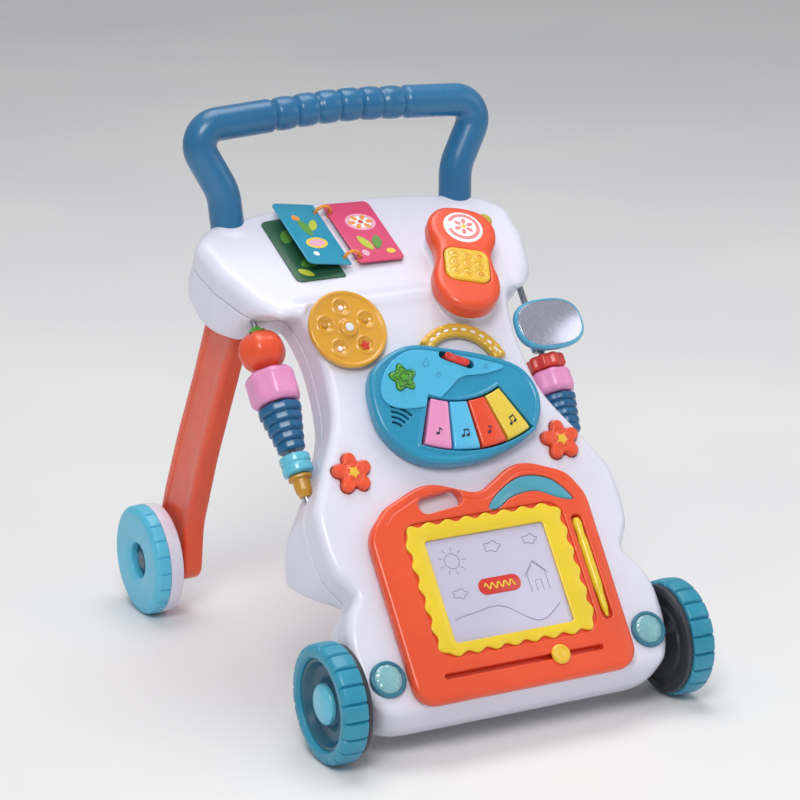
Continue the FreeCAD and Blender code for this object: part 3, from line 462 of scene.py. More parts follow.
def mesh_piece(name, points, faces, place):
    """A mesh object: points in millimetres in the frame of place."""
    matrix = np.array(place)
    world = (np.asarray(points, float) @ matrix[:3, :3].T + matrix[:3, 3]) * MM
    mesh = bpy.data.meshes.new(name)
    mesh.from_pydata(world.tolist(), [], [list(map(int, f)) for f in faces])
    mesh.update()
    piece = bpy.data.objects.new(name, mesh)
    bpy.context.scene.collection.objects.link(piece)
    mesh.polygons.foreach_set("use_smooth", [True] * len(mesh.polygons))
    return piece


def mould(name, place, low, high, step, field, thin=0.0):
    """A moulded piece: the zero surface of a field over a box, in the frame of place."""
    low, high = np.array(low, float), np.array(high, float)
    counts = np.ceil((high - low) / step).astype(int) + 1
    axes = [low[m] + np.arange(counts[m]) * step for m in range(3)]
    x, y, z = axes[0][:, None, None], axes[1][None, :, None], axes[2][None, None, :]
    values = np.array(np.broadcast_to(field(x, y, z), counts), np.float32)
    points, quads = surface_net(values, low, step)
    piece = mesh_piece(name, points, quads, place)
    if thin:
        shrink = piece.modifiers.new("thin", "DECIMATE")
        shrink.ratio = thin
        apply_modifiers(piece)
        piece.data.polygons.foreach_set("use_smooth", [True] * len(piece.data.polygons))
    return piece


def apply_modifiers(piece):
    graph = bpy.context.evaluated_depsgraph_get()
    done = bpy.data.meshes.new_from_object(piece.evaluated_get(graph))
    piece.modifiers.clear()
    piece.data = done


# ------------------------------------------------------------------ turned, swept and flat pieces
def lathe(name, place, profile, around, shape=None):
    """A turned piece: profile is a closed loop of (radius, height); shape may move a ring's radius."""
    angles = np.arange(around) * 2 * math.pi / around
    loop = np.array(profile, float)
    radius = np.broadcast_to(loop[:, 0:1], (len(loop), around)).copy()
    height = np.broadcast_to(loop[:, 1:2], (len(loop), around)).copy()
    if shape:
        radius, height = shape(radius, height, angles[None, :])
    points = np.stack([radius * np.cos(angles), radius * np.sin(angles), height], -1).reshape(-1, 3)
    count = len(loop)
    faces = []
    for i in range(count):
        k = (i + 1) % count
        for j in range(around):
            m = (j + 1) % around
            faces.append((i * around + j, i * around + m, k * around + m, k * around + j))
    piece = mesh_piece(name, points, faces, place)
    tidy(piece)
    return piece


def tidy(piece):
    """Merges doubled points, points every face outwards and keeps only true creases sharp."""
    work = bmesh.new()
    work.from_mesh(piece.data)
    bmesh.ops.remove_doubles(work, verts=work.verts, dist=2e-6)
    bmesh.ops.dissolve_degenerate(work, edges=work.edges, dist=1e-6)
    bmesh.ops.recalc_face_normals(work, faces=work.faces)
    work.to_mesh(piece.data)
    work.free()
    piece.data.polygons.foreach_set("use_smooth", [True] * len(piece.data.polygons))
    piece.data.set_sharp_from_angle(angle=CREASE)


def turned(name, place, corners, steps, around, shape=None):
    """A turned piece from (radius, height, rounding) corners that turn on arcs."""
    profile = rounded([(x, y, max(r, SHARPEST)) for x, y, r in corners], steps)
    return lathe(name, place, profile, around, shape)


def dome(radius, base, rise, low, high, count):
    """Profile points on an arch that rises from base, between two angles."""
    return [(radius * math.cos(t), base + rise * math.sin(t)) for t in np.linspace(low, high, count)]


def plate(name, place, outline, low, high, bevel=0.3, segments=2):
    """A flat piece: an outline raised from low to high, its rim bevelled."""
    work = bmesh.new()
    bottom = [work.verts.new((x, y, low)) for x, y in outline]
    face = work.faces.new(bottom)
    raised = bmesh.ops.extrude_face_region(work, geom=[face])
    top = [v for v in raised["geom"] if isinstance(v, bmesh.types.BMVert)]
    bmesh.ops.translate(work, verts=top, vec=(0, 0, high - low))
    bmesh.ops.recalc_face_normals(work, faces=work.faces)
    if bevel:
        rims = [e for e in work.edges if len(e.link_faces) == 2 and e.calc_face_angle() > 1.2
                and abs(e.verts[0].co.z - e.verts[1].co.z) < 1e-6]
        bmesh.ops.bevel(work, geom=rims, offset=bevel, segments=segments, affect="EDGES", profile=0.5,
                        clamp_overlap=True)
    bmesh.ops.transform(work, matrix=Matrix.Scale(MM, 4) @ place, verts=work.verts)
    mesh = bpy.data.meshes.new(name)
    work.to_mesh(mesh)
    work.free()
    piece = bpy.data.objects.new(name, mesh)
    bpy.context.scene.collection.objects.link(piece)
    tidy(piece)
    return piece


def swept(name, place, path, radius, around=40, closed=False):
    """A tube along a path of 3-D points; radius is a number or one number for each point."""
    spine = np.array(path, float)
    count = len(spine)
    radii = np.broadcast_to(np.array(radius, float), (count,))
    ahead = np.roll(spine, -1, 0) - spine
    behind = spine - np.roll(spine, 1, 0)
    run = ahead / np.linalg.norm(ahead, axis=1)[:, None] + behind / np.linalg.norm(behind, axis=1)[:, None]
    if not closed:
        run[0], run[-1] = ahead[0], behind[-1]
    run /= np.linalg.norm(run, axis=1)[:, None]
    side = np.cross(run[0], (0, 0, 1) if abs(run[0][2]) < 0.9 else (1, 0, 0))
    angles = np.arange(around) * 2 * math.pi / around
    points = []
    for k in range(count):
        side = side - run[k] * (side @ run[k])
        side /= np.linalg.norm(side)
        other = np.cross(run[k], side)
        for a in angles:
            points.append(spine[k] + radii[k] * (side * math.cos(a) + other * math.sin(a)))
    faces = []
    for k in range(count if closed else count - 1):
        for j in range(around):
            m = (j + 1) % around
            n = (k + 1) % count
            faces.append((k * around + j, k * around + m, n * around + m, n * around + j))
    if not closed:
        faces.append(list(range(around))[::-1])
        faces.append([(count - 1) * around + j for j in range(around)])
    piece = mesh_piece(name, points, faces, place)
    tidy(piece)
    return piece


def merged(name, pieces):
    """One object holding several pieces' meshes."""
    work = bmesh.new()
    for piece in pieces:
        work.from_mesh(piece.data)
        bpy.data.objects.remove(piece)
    mesh = bpy.data.meshes.new(name)
    work.to_mesh(mesh)
    work.free()
    result = bpy.data.objects.new(name, mesh)
    bpy.context.scene.collection.objects.link(result)
    result.data.polygons.foreach_set("use_smooth", [True] * len(mesh.polygons))
    result.data.set_sharp_from_angle(angle=CREASE)
    return result


# ------------------------------------------------------------------ panel
TORSO_EDGE = [(96, -62), (118, -60), (134, -51), (144, -36), (151, -16), (154, 4), (153, 28), (146, 48),
              (137, 60), (136, 67), (142, 78), (148, 90), (150.5, 112), (149, 142), (142, 157), (134, 172),
              (124, 190), (113, 209), (105, 228), (101, 252), (99, 280), (101, 305), (107, 328), (116, 350)]
SIDE_PROFILE = [(-223, 16), (-236, 27), (-246, 45), (-247.5, 51.8), (-17.4, 350.8), (60, 330), (18, 310),
                (-70, 194), (-71, 110), (-153, 109), (-155, 16)]
HEAD_EDGE = [(102, -13, 6), (126, -9, 14), (143, 16, 60), (158, 60, 40), (162, 104, 22), (140, 127, 26),
             (60, 144, 400), (-60, 144, 400), (-140, 127, 26), (-162, 104, 22), (-158, 60, 40),
             (-143, 16, 60), (-126, -9, 14), (-102, -13, 6)]
HEAD_PROFILE = [(-36, 338.2), (116, 412.9), (122, 400), (119, 366), (104, 334), (84, 316), (60, 309), (40, 308),
                (22, 322), (6, 333)]
PARTING = [(-300, -20), (-190, -20), (-190, 77), (-166, 108), (3, 329), (14, 338), (100, 372), (140, 380), (140, 520),
           (-300, 520)]
PHONE_OUTLINE = [(0, 62), (20, 58), (31, 44), (32, 27), (27, 10), (27, -6), (31, -24), (29, -44), (17, -60), (0, -65),
                 (-17, -60), (-29, -44), (-31, -24), (-27, -6), (-27, 10), (-32, 27), (-31, 44), (-20, 58)]
DISC_X, DISC_V = -69, 304
BUTTON_X, BUTTON_V = 105, 172
HANDLE_FOOT, HANDLE_LEAN = Vector((117, 101, 384)), math.radians(6)


def in_frame(base, other, x, y, z):
    """Coordinates given in one frame, seen in another."""
    m = np.array(other.inverted() @ base)
    return tuple(m[r, 0] * x + m[r, 1] * y + m[r, 2] * z + m[r, 3] for r in range(3))


def handle_frame(side):
    lean = Matrix.Rotation(-HANDLE_LEAN, 4, "X") @ Matrix.Rotation(math.radians(3.4 * side), 4, "Y")
    return Matrix.Translation((side * HANDLE_FOOT.x, HANDLE_FOOT.y, HANDLE_FOOT.z)) @ lean


def panel_fields():
    """The front shell's and the back cover's fields, in the frame of the face."""
    right = smooth(TORSO_EDGE, 5, closed=False)
    torso_edge = Outline(right + [(-x, y) for x, y in reversed(right)], soft=3)
    side_edge = Outline(SIDE_PROFILE, soft=10, margin=20)
    head_edge = Outline(rounded(HEAD_EDGE), soft=4, margin=30)
    head_side = Outline(HEAD_PROFILE, soft=10, margin=20)
    parting = Outline(PARTING, margin=40)
    cradle_edge = Outline([(x * 0.86, y * 0.9) for x, y in smooth(PHONE_OUTLINE)])
    flower = Outline(petals(5, 16.7, 3.5, blunt=0.2), step=0.5)
    row = Matrix.Identity(4)

    def whole(x, v, n):
        _, y, z = in_frame(FACE, row, 0, v, n)
        hx, hw, hh = in_frame(FACE, HEAD, x, v, n)
        torso = both(torso_edge(x, v), side_edge(y, z), 9)
        head = both(head_edge(hx, hw), head_side(y, z), 13)
        body = joined(torso, head, 7)
        px, pu, pn = in_frame(FACE, PHONE, x, v, n)
        cradle = both(cradle_edge(px, pu), slab(pn, -36, -0.4), 1.5)
        body = joined(body, cradle, 5)
        for _, side in SIDES:
            bx, by, bz = in_frame(FACE, handle_frame(side), x, v, n)
            foot = both(np.hypot(bx, by) - 19.2, slab(bz, -26, 9), 3)
            body = joined(body, foot, 9)
            away = np.hypot(x - side * ROD_X, n - ROD_DEPTH)
            wide = both(away - 27, slab(v, 210, 331), 6)
            narrow = both(away - 17, slab(v, 169, 240), 4)
            body = carved(body, joined(wide, narrow, 6), 4)
            hole = np.maximum(flower(x - side * BUTTON_X, v - BUTTON_V), slab(n, -6, 20))
            body = carved(body, hole, 0.8)
        dish = both(np.hypot(x - DISC_X, v - DISC_V) - 39.6, slab(n, -1.2, 20), 1)
        return carved(body, dish, 1.5)

    def front(x, v, n):
        _, y, z = in_frame(FACE, row, 0, v, n)
        return both(whole(x, v, n), parting(y, z) + 0.35, 0.8)

    def back(x, v, n):
        _, y, z = in_frame(FACE, row, 0, v, n)
        body = both(whole(x, v, n), 0.35 - parting(y, z), 0.8)
        door = np.abs(both(np.abs(x) - 42, np.abs(v - 118) - 36, 6)) - 0.9
        return carved(body, np.maximum(door, slab(n, -160, -30)), 0.6)

    return front, back


def make_panel():
    front, back = panel_fields()
    low, high = (-166, -64, -128), (166, 474, 24)
    step = 1.5
    skin = mould("front_shell_skin", FACE, low, high, step, front, thin=0.4)
    dress(skin, "panel", "panel_front_shell", "panel_white")
    cover = mould("back_cover_skin", FACE, low, high, step, back, thin=0.4)
    dress(cover, "panel", "panel_back_cover", "panel_white")


make_panel()

# ------------------------------------------------------------------ legs
LEG = [(60, 326, 6), (102, 332, 6), (143, 252, 500), (180, 187, 500), (210, 128, 90), (228, 88, 60), (231, 36, 26),
       (170, 36, 16), (162, 92, 90), (128, 168, 500), (98, 224, 500), (70, 276, 300), (48, 310, 20)]
LEG_OUTSIDE, LEG_THICK = 138, 20
SIDE_ON = Matrix(((0, 0, 1, 0), (1, 0, 0, 0), (0, 1, 0, 0), (0, 0, 0, 1)))


def make_legs():
    edge = Outline(rounded(LEG), soft=2)
    for name, side in SIDES:
        outer = side * LEG_OUTSIDE
        low, high = min(outer, outer - side * LEG_THICK), max(outer, outer - side * LEG_THICK)

        def field(y, z, x, low=low, high=high, outer=outer):
            away = edge(y, z)
            body = both(away, slab(x, low, high), 5)
            sunk = both(away + 11, slab(x, outer - 1.4, outer + 1.4), 0.9)
            return carved(body, np.maximum(sunk, 30 - z), 1.2)

        piece = mould(f"leg_{name}_skin", SIDE_ON, (40, 28, low - 3), (240, 340, high + 3), 1.3, field, thin=0.35)
        dress(piece, "panel", f"{name}_leg", "orange_red")


make_legs()

# ------------------------------------------------------------------ handle
HANDLE_RUN = [(117, 0, 0), (119.6, 44, 50), (152.3, 105.8, 19), (0, 114, 600), (-152.3, 105.8, 19), (-119.6, 44, 50),
              (-117, 0, 0)]
TUBE_RADIUS, GROOVES, GROOVE_PITCH = 15.5, 7, 22


def handle_path(step=1.6):
    """Points along the handle's centre line, evenly spaced, corners on arcs."""
    inner = rounded([(*p[:2], max(p[2], 0.01)) for p in HANDLE_RUN[1:-1]] + [(-117, -40, 0.01), (117, -40, 0.01)], 16)
    run = [HANDLE_RUN[0][:2]] + inner[:5 * 17] + [HANDLE_RUN[-1][:2]]
    line = np.array(run, float)
    gone = np.concatenate([[0], np.cumsum(np.linalg.norm(np.diff(line, axis=0), axis=1))])
    marks = np.linspace(0, gone[-1], int(gone[-1] / step))
    return np.stack([np.interp(marks, gone, line[:, 0]), np.zeros(len(marks)), np.interp(marks, gone, line[:, 1])], 1)


def make_handle():
    path = handle_path()
    x = path[:, 0]
    radius = np.full(len(path), TUBE_RADIUS)
    grip = (np.abs(x) < GROOVE_PITCH * 3.2) & (path[:, 2] > 90)
    for i in range(GROOVES):
        away = np.abs(x - (i - (GROOVES - 1) / 2) * GROOVE_PITCH)
        radius -= np.where(grip, 2.3 * np.exp(-(away / 1.7) ** 2), 0)
    swell = -0.9 * np.abs(np.cos(math.pi * x / GROOVE_PITCH)) ** 3
    radius += np.where(grip, np.minimum(swell, 0), 0)
    seat = Matrix.Translation((0, HANDLE_FOOT.y, HANDLE_FOOT.z)) @ Matrix.Rotation(-HANDLE_LEAN, 4, "X")
    piece = swept("handle_tube", seat, path, radius, 56)
    dress(piece, "panel", "handle", "handle_blue")


make_handle()

# ------------------------------------------------------------------ wheels
R, RIM, BORE = 53, 40, 4.05
TREAD_COUNT = 20
FRONT_OUTSIDE, REAR_OUTSIDE = 185, 171


def tread(depth, low, sharp):
    """Presses grooves across the tread: rings above the low height lose depth at each groove."""
    def shape(radius, height, angle):
        wave = np.abs(np.mod(angle * TREAD_COUNT / (2 * math.pi), 1) - 0.5) * 2
        groove = np.clip((wave - sharp) / (1 - sharp), 0, 1)
        groove = groove * groove * (3 - 2 * groove)
        on_tread = np.clip((radius - 46) / 4, 0, 1) * (height > low)
        return radius - depth * groove * on_tread, height
    return shape


def make_wheels():
    wide, half = WHEEL_WIDTH, WHEEL_WIDTH / 2
    tyre = [(RIM, 5, 0.6), (R - 1, 5, 2.6), (R, half, 60), (R - 1, wide - 1.5, 5), (R - 7, wide, 3),
            (RIM + 2, wide, 2), (RIM, wide - 3, 1)]
    dish = [(BORE, 5, 0), (RIM, 5, 0), (RIM, wide - 4, 0.8), (RIM - 3, wide - 5, 2), (RIM - 7, wide - 12, 5),
            (22, wide - 14.5, 6), (18.5, wide - 9, 2), (BORE, wide - 9, 0)]
    inner = [(BORE, 0.6, 0), (30, 0.6, 0), (32, 2, 0.5), (40, 2, 0.5), (42, 0, 0.6), (49, 0, 1), (49, 4.9, 0.3),
             (BORE, 4.9, 0)]
    front = (("tyre_front", "front_tyre", "wheel_teal", tyre, 7, 480, tread(3.0, 0, 0.76)),
             ("rim_front", "front_rim", "rim_teal", dish, 6, 128, None),
             ("inner_front", "front_inner_disc", "charcoal", inner, 4, 96, None))
    cap = [(0.01, wide - 8.9), (17.4, wide - 8.9), (18, wide - 8.3), *dome(18, wide - 6, 6, 0, ALMOST_UP, 14),
           (0.01, wide)]
    white = [(BORE, 0, 0.4), (20, 0, 1), (22, 3, 1), (43, 3, 1.5), (46, 0, 1), (R - 1, 0, 3), (R, half - 0.2, 0.8),
             (17, half - 0.2, 0.1), (BORE, half - 0.2, 0.1)]
    cyan = [(17, half + 0.2, 0.1), (R, half + 0.2, 0.8), (R - 0.5, wide - 3, 4), (R - 7, wide, 4),
            (24, wide - 0.6, 4), (17, wide - 2, 2.4)]
    rear = (("rear_inner", "rear_wheel_inner", "wheel_white", white, 6, 160, None),
            ("rear_outer", "rear_wheel_outer", "wheel_cyan", cyan, 7, 480, tread(1.5, half + 1, 0.82)))
    hub = [(0.02, half, 0), (16.8, half, 0), (16.8, half + 5, 0.8), (12, half + 5.5, 1), (8, half + 8.5, 2.5),
           (0.02, half + 8.8, 0)]
    for name, side in SIDES:
        for kind, outside, parts in (("front", FRONT_OUTSIDE, front), ("rear", REAR_OUTSIDE, rear)):
            body = f"{kind}_wheel_{name}"
            seat = wheel_frame(side, outside, f"{body}_spin")
            for piece, node, colour, *form in parts:
                dress(turned(f"{piece}_{name}", seat, *form), body, f"{node}_{name}", colour)
            if kind == "front":
                dress(lathe(f"cap_front_{name}", seat, cap, 72), body, f"front_hub_cap_{name}", "cap_cyan")
            else:
                dress(turned(f"rear_cap_{name}", seat, hub, 5, 64), body, None, "rim_teal", "hub_blue")


make_wheels()

# ------------------------------------------------------------------ lamps, flowers, disc
def fluted(radius, height, angle):
    """Ten shallow flutes run out over a lens."""
    return radius, height + 0.22 * np.cos(angle * 10) * np.clip(radius / 13, 0, 1) * (height > 2.5)


def flower_field(x, y, n):
    away = FLOWER(x, y)
    turn = np.arctan2(y, x) - math.pi / 2
    top = 5.4 + 0.9 * np.clip(-away / 5, 0, 1) - 0.9 * np.exp(-(np.hypot(x, y) - 8.2) ** 2 / 4)
    crease = 0.7 * np.clip(np.cos(5 * turn + math.pi), 0, 1) ** 8 * np.clip(-away / 5, 0, 1)
    return both(away, slab(n, -3, top - crease), 1.6)


FLOWER = Outline(petals(5, 16, 3.5, blunt=0.2), step=0.4)


def make_face_trim():
    lens_form = [(0.01, -1.5), (13.1, -1.5), *dome(13.1, 2.4, 3.7, 0, ALMOST_UP, 14), (0.01, 6.1)]
    heart_form = [(0.01, 2), (6.6, 2), (6.9, 4), *dome(6.9, 4.4, 2.3, 0.1, 1.5, 9), (0.01, 6.7)]
    for name, side in SIDES:
        seat = at(FACE, side * 130, -14)
        ring = turned(f"lamp_ring_{name}", seat, [(13.2, -2, 0), (16.5, -2, 0), (16.5, 3.8, 1.6), (13.2, 3.8, 0.8)],
                      5, 72)
        dress(ring, "panel", "headlight_rings" if side < 0 else None, "lens_ring")
        lens = lathe(f"lamp_lens_{name}", seat, lens_form, 120, fluted)
        dress(lens, "panel", "headlight_lenses" if side < 0 else None, "lens")

        body = f"flower_button_{name}"
        seat = at(FACE, side * BUTTON_X, BUTTON_V)
        piece = mould(f"flower_{name}", seat, (-21, -21, -7), (21, 21, 8), 0.5, flower_field, thin=0.4)
        dress(piece, body, body, "orange_red")
        dress(lathe(f"flower_heart_{name}", seat, heart_form, 48), body, None, "keypad_yellow")

    seat = at(FACE, DISC_X, DISC_V)

    def disc_field(x, y, n):
        reach = np.hypot(x, y)
        rim = both(reach - 37, slab(n, 1.6, 7.6), 1.8)
        inner = both(reach - 33.5, slab(n, 6.2, 12), 1.5)
        body = carved(rim, inner, 1.2)
        body = joined(body, both(reach - 8.5, slab(n, 3, 10), 2.5), 2.5)
        for i in range(5):
            a = 2 * math.pi * (i + 0.25) / 5
            cx, cy = 21 * math.cos(a), 21 * math.sin(a)
            cup = np.sqrt((x - cx) ** 2 + (y - cy) ** 2 + ((n - 9.4) * 1.35) ** 2) - 8.4
            ring = np.hypot(np.hypot(x - cx, y - cy) - 8.2, (n - 6.3)) - 0.8
            body = joined(carved(body, cup, 1.0), ring, 0.8)
        return body

    piece = mould("spinner", seat, (-39, -39, 0), (39, 39, 12), 0.6, disc_field, thin=0.4)
    dress(piece, "spinner_disc", "spinner_disc", "disc_amber")
    star = plate("spinner_badge", at(seat, 21 * math.cos(math.radians(-54)), 21 * math.sin(math.radians(-54))),
                 petals(5, 3.6, 1.1), 4.4, 5.2, 0.2)
    dress(star, "spinner_disc", None, "slider_red")
    for i, spot in enumerate((18, 90, 162, 234)):
        turn = math.radians(spot)
        dot = lathe(f"spinner_bead_{i}", at(seat, 21 * math.cos(turn), 21 * math.sin(turn)),
                    [(0.01, 3.6), (2.6, 3.6), *dome(2.6, 4, 1.8, 0, 1.5, 7), (0.01, 5.8)], 32)
        dress(dot, "spinner_disc", None, "disc_amber", "print_white" if i % 2 else "tip_ochre")
    screw = turned("spinner_screw", seat, [(0.02, 9, 0), (4, 9, 0), (4, 11, 0.8), (0.02, 11.6, 0)], 4, 40)
    dress(screw, "panel", None, "panel_white")


make_face_trim()

# ------------------------------------------------------------------ piano
PIANO = [(-70, 244), (-56, 265), (-22, 278), (17, 270), (59, 256), (84, 240), (92, 215), (83, 189), (60, 173),
         (17, 162), (-26, 164), (-54, 178), (-71, 206)]
WAVE = [(-62, 232), (-59, 246), (-44, 263), (-20, 272), (14, 264), (46, 253), (64, 244), (44, 240), (20, 240),
        (2, 229), (-16, 219), (-40, 218), (-56, 223)]
KEY_X, KEY_V = 18, 300
KEY_TURNS = (-18.8, -6.2, 6.4, 19.0)
KEY_COLOURS = ("key_pink", "key_cyan", "key_red", "key_yellow")
STAR_X, STAR_V = -37, 247
SLIDE_X, SLIDE_V = 20, 257
SLIDE_TURN = math.degrees(math.atan2(-13, 24))
CASE_TOP = 16


def make_piano():
    edge = Outline(smooth(PIANO), step=0.8)
    well = Outline(ring_sector(KEY_X, KEY_V, 81, 129, -116, -64), step=0.6)
    star_hole = Outline(petals(5, 11.4, 2.4, x=STAR_X, y=STAR_V), step=0.5)
    slot = Outline(spun(rounded_box(34, 8, 3.9), SLIDE_TURN, SLIDE_X, SLIDE_V), step=0.5)

    def case(x, v, n):
        away = edge(x, v)
        body = both(away, slab(n, 0, CASE_TOP), 4.5)
        step = both(away + 5.5, slab(n, CASE_TOP - 0.9, 30), 0.8)
        body = carved(body, step, 0.8)
        lip = np.abs(well(x, v) - 1.6) - 1.4
        body = joined(body, both(lip, slab(n, CASE_TOP - 3, CASE_TOP + 0.2), 0.9), 1.2)
        for cut in (well(x, v), star_hole(x, v), slot(x, v)):
            body = carved(body, np.maximum(cut, slab(n, 3, 30)), 0.7)
        reach = np.hypot(x + 62, v - 196)
        turn = np.degrees(np.arctan2(v - 196, x + 62))
        for i in range(4):
            bar = both(np.abs(reach - 13 - 5 * i) - 1.2, np.abs(turn - 56) * 0.35 - 8, 1)
            body = carved(body, np.maximum(bar, slab(n, 10, 30)), 0.5)
        return body

    piece = mould("piano_shell", FACE, (-75, 157, -1), (97, 283, 19), 0.75, case, thin=0.4)
    dress(piece, "panel", "piano_case", "piano_teal")
    # a dark sheet in the key well: painted shade around and under the keys
    key_well_shade_sheet = plate("piano_well_painted_shade", FACE, ring_sector(KEY_X, KEY_V, 80, 130, -117, -63), 2.6, 3.3, 0)
    dress(key_well_shade_sheet, "panel", None, "dark_part", "ink_dark")

    wave_edge = Outline(smooth(WAVE), step=0.5)

    def wave(x, v, n):
        body = both(wave_edge(x, v), slab(n, CASE_TOP - 1.2, CASE_TOP + 1.1), 0.7)
        for cut in (star_hole(x, v) - 0.2, slot(x, v) - 0.2, well(x, v) - 1.2):
            body = carved(body, cut, 0.4)
        return body

    piece = mould("piano_wave", FACE, (-66, 214, 13), (68, 276, 18.4), 0.5, wave, thin=0.35)
    dress(piece, "panel", "piano_wave_panel", "wave_cyan")
    swirls = []
    for k, (x, v, size) in enumerate(((-12, 258, 4.2), (-3, 245, 3.0), (46, 247, 2.6))):
        line = [(x + size * (0.2 + 0.12 * t) * math.cos(t), v + size * (0.2 + 0.12 * t) * math.sin(t), CASE_TOP + 1.2)
                for t in np.linspace(0, 7.5, 40)]
        swirls.append(swept(f"swirl_{k}", FACE, line, 0.35, 8))
    dress(merged("piano_swirls", swirls), "panel", None, "piano_teal")

    for i, turn in enumerate(KEY_TURNS, start=1):
        seat = at(FACE, KEY_X, KEY_V, 0, turn)
        edge_k = Outline(ring_sector(0, 0, 82.6, 127.4, -95.8, -84.2), step=0.4)

        def key(x, y, n, edge_k=edge_k):
            away = edge_k(x, y)
            crown = 17.2 - 0.5 * (x / 9) ** 2 - 1.6 * np.clip((-y - 121) / 7, 0, 1) ** 2
            return both(away, slab(n, 6.4, crown), 1.5)

        piece = mould(f"key_{i}", seat, (-15, -129, 5), (15, -80, 19), 0.55, key, thin=0.35)
        dress(piece, f"piano_key_{i}", f"piano_key_{i}", KEY_COLOURS[i - 1])
        dress(note(f"key_note_{i}", at(seat, 0, -113, 17.2), i), f"piano_key_{i}", None, "dark_part", "ink_dark")

    seat = at(FACE, STAR_X, STAR_V)
    star = Outline(petals(5, 10.9, 2.4), step=0.3)

    def star_field(x, y, n):
        away = star(x, y)
        return both(away, slab(n, 8, 18.6 + 1.5 * np.clip(-away / 7, 0, 1)), 1.4)

    piece = mould("star", seat, (-15, -15, 7), (15, 15, 21.5), 0.45, star_field, thin=0.4)
    dress(piece, "star_button", "star_button", "star_green")
    rim = swept("star_line", seat, [(x, y, 19.35) for x, y in petals(5, 8.2, 1.8)], 0.35, 8, closed=True)
    heart = swept("star_heart", seat, [(x, y, 19.95) for x, y in petals(5, 4.2, 0.9)], 0.35, 8, closed=True)
    dress(merged("star_marks", [rim, heart]), "star_button", None, "dark_part", "print_dark_green")

    seat = at(FACE, SLIDE_X, SLIDE_V, 0, SLIDE_TURN)
    thumb = Outline(rounded_box(24, 7.2, 3.5), step=0.3)

    def thumb_field(x, y, n):
        body = both(thumb(x, y), slab(n, 9, 20 - 1.4 * np.exp(-(x / 6) ** 2)), 1.4)
        for k in (-7, 7):
            bar = both(np.abs(x - k) - 0.6, slab(n, 17, 20.2), 0.5) + np.maximum(np.abs(y) - 2.4, 0)
            body = joined(body, bar, 0.5)
        return body

    piece = mould("mode_thumb", seat, (-14, -5, 8), (14, 5, 22), 0.4, thumb_field, thin=0.4)
    dress(piece, "mode_slider", "mode_slider", "slider_red")

    arch = Outline(ring_sector(30, 248, 34.4, 47.8, 12, 136), step=0.5, soft=3)
    case_edge = Outline(smooth(PIANO), step=1.0)

    def arch_field(x, v, n):
        body = both(arch(x, v), slab(n, 0, 8.4), 3.6)
        turn = np.arctan2(v - 248, x - 30)
        body = body + 0.3 * np.cos(turn * 34) * np.clip((n - 3) / 4, 0, 1)
        body = carved(body, np.hypot(np.hypot(x - 30, v - 248) - 41.2, (n - 8.8) * 1.3) - 1.9, 0.8)
        return np.maximum(body, 0.1 - case_edge(x, v))

    piece = mould("piano_arch", FACE, (-12, 245, -1), (82, 300, 10), 0.6, arch_field, thin=0.4)
    dress(piece, "panel", "piano_arch_handle", "arch_yellow")
    beads = []
    for i in range(9):
        turn = 24 + 12.4 * i
        spot = (30 + 41.2 * math.cos(math.radians(turn)), 248 + 41.2 * math.sin(math.radians(turn)))
        beads.append(plate(f"arch_bead_{i}", at(FACE, *spot, 0, turn + 90), oval(5.4, 2.4, steps=28), 6.6, 8.2, 0.5))
    dress(merged("arch_beads", beads), "panel", None, "arch_yellow", "print_white")


def note(name, seat, kind):
    """A small printed music note: a slanted head, a stem and a flag, or two of them barred."""
    parts = []
    heads = [(-1.6, -2.4)] if kind % 2 else [(-2.6, -2.6), (2.2, -2.0)]
    for k, (x, y) in enumerate(heads):
        parts.append(plate(f"{name}_head_{k}", seat, spun(oval(3.6, 2.6), 20, x, y), -0.6, 0.3, 0))
        stem = [(x + 1.2, y), (x + 1.9, y), (x + 1.9, y + 6), (x + 1.2, y + 6)]
        parts.append(plate(f"{name}_stem_{k}", seat, stem, -0.6, 0.3, 0))
    if kind % 2:
        flag = [(0.3, 3.6), (2.6, 2.0), (2.9, 0.2), (2.1, 1.4), (0.3, 2.2)]
    else:
        flag = [(-1.4, 3.4), (4.1, 4.0), (4.1, 2.7), (-1.4, 2.1)]
    parts.append(plate(f"{name}_flag", seat, flag, -0.6, 0.3, 0))
    return merged(name, parts)


make_piano()

# ------------------------------------------------------------------ drawing board
BOARD = [(-113, -46, 20), (106, -46, 20), (108, 116, 34), (96, 140, 26), (50, 159, 40), (4, 133, 22),
         (-44, 152, 46), (-89, 134, 26), (-112.5, 112, 30)]
WINDOW = [(8, 118), (24, 132), (50, 142), (77, 135), (93, 114), (79, 116), (58, 126), (34, 124), (18, 116)]
SCREEN_X, SCREEN_V = -3.5, 50.5
BOARD_TOP = 12.3
PEN_X, SLOT_V = 89, -24


def wavy_box(width, height, radius, x, y, swing, waves):
    """A rounded rectangle whose edge rises and falls in even waves."""
    loop = np.array(rounded_box(width, height, radius, x, y), float)
    closed = np.vstack([loop, loop[:1]])
    gone = np.concatenate([[0], np.cumsum(np.linalg.norm(np.diff(closed, axis=0), axis=1))])
    marks = np.linspace(0, gone[-1], waves * 12, endpoint=False)
    spots = np.stack([np.interp(marks, gone, closed[:, m]) for m in (0, 1)], 1)
    ahead = np.roll(spots, -1, 0) - np.roll(spots, 1, 0)
    outward = np.stack([ahead[:, 1], -ahead[:, 0]], 1) / np.linalg.norm(ahead, axis=1)[:, None]
    return spots + outward * (swing * np.sin(2 * math.pi * marks * waves / gone[-1]))[:, None]


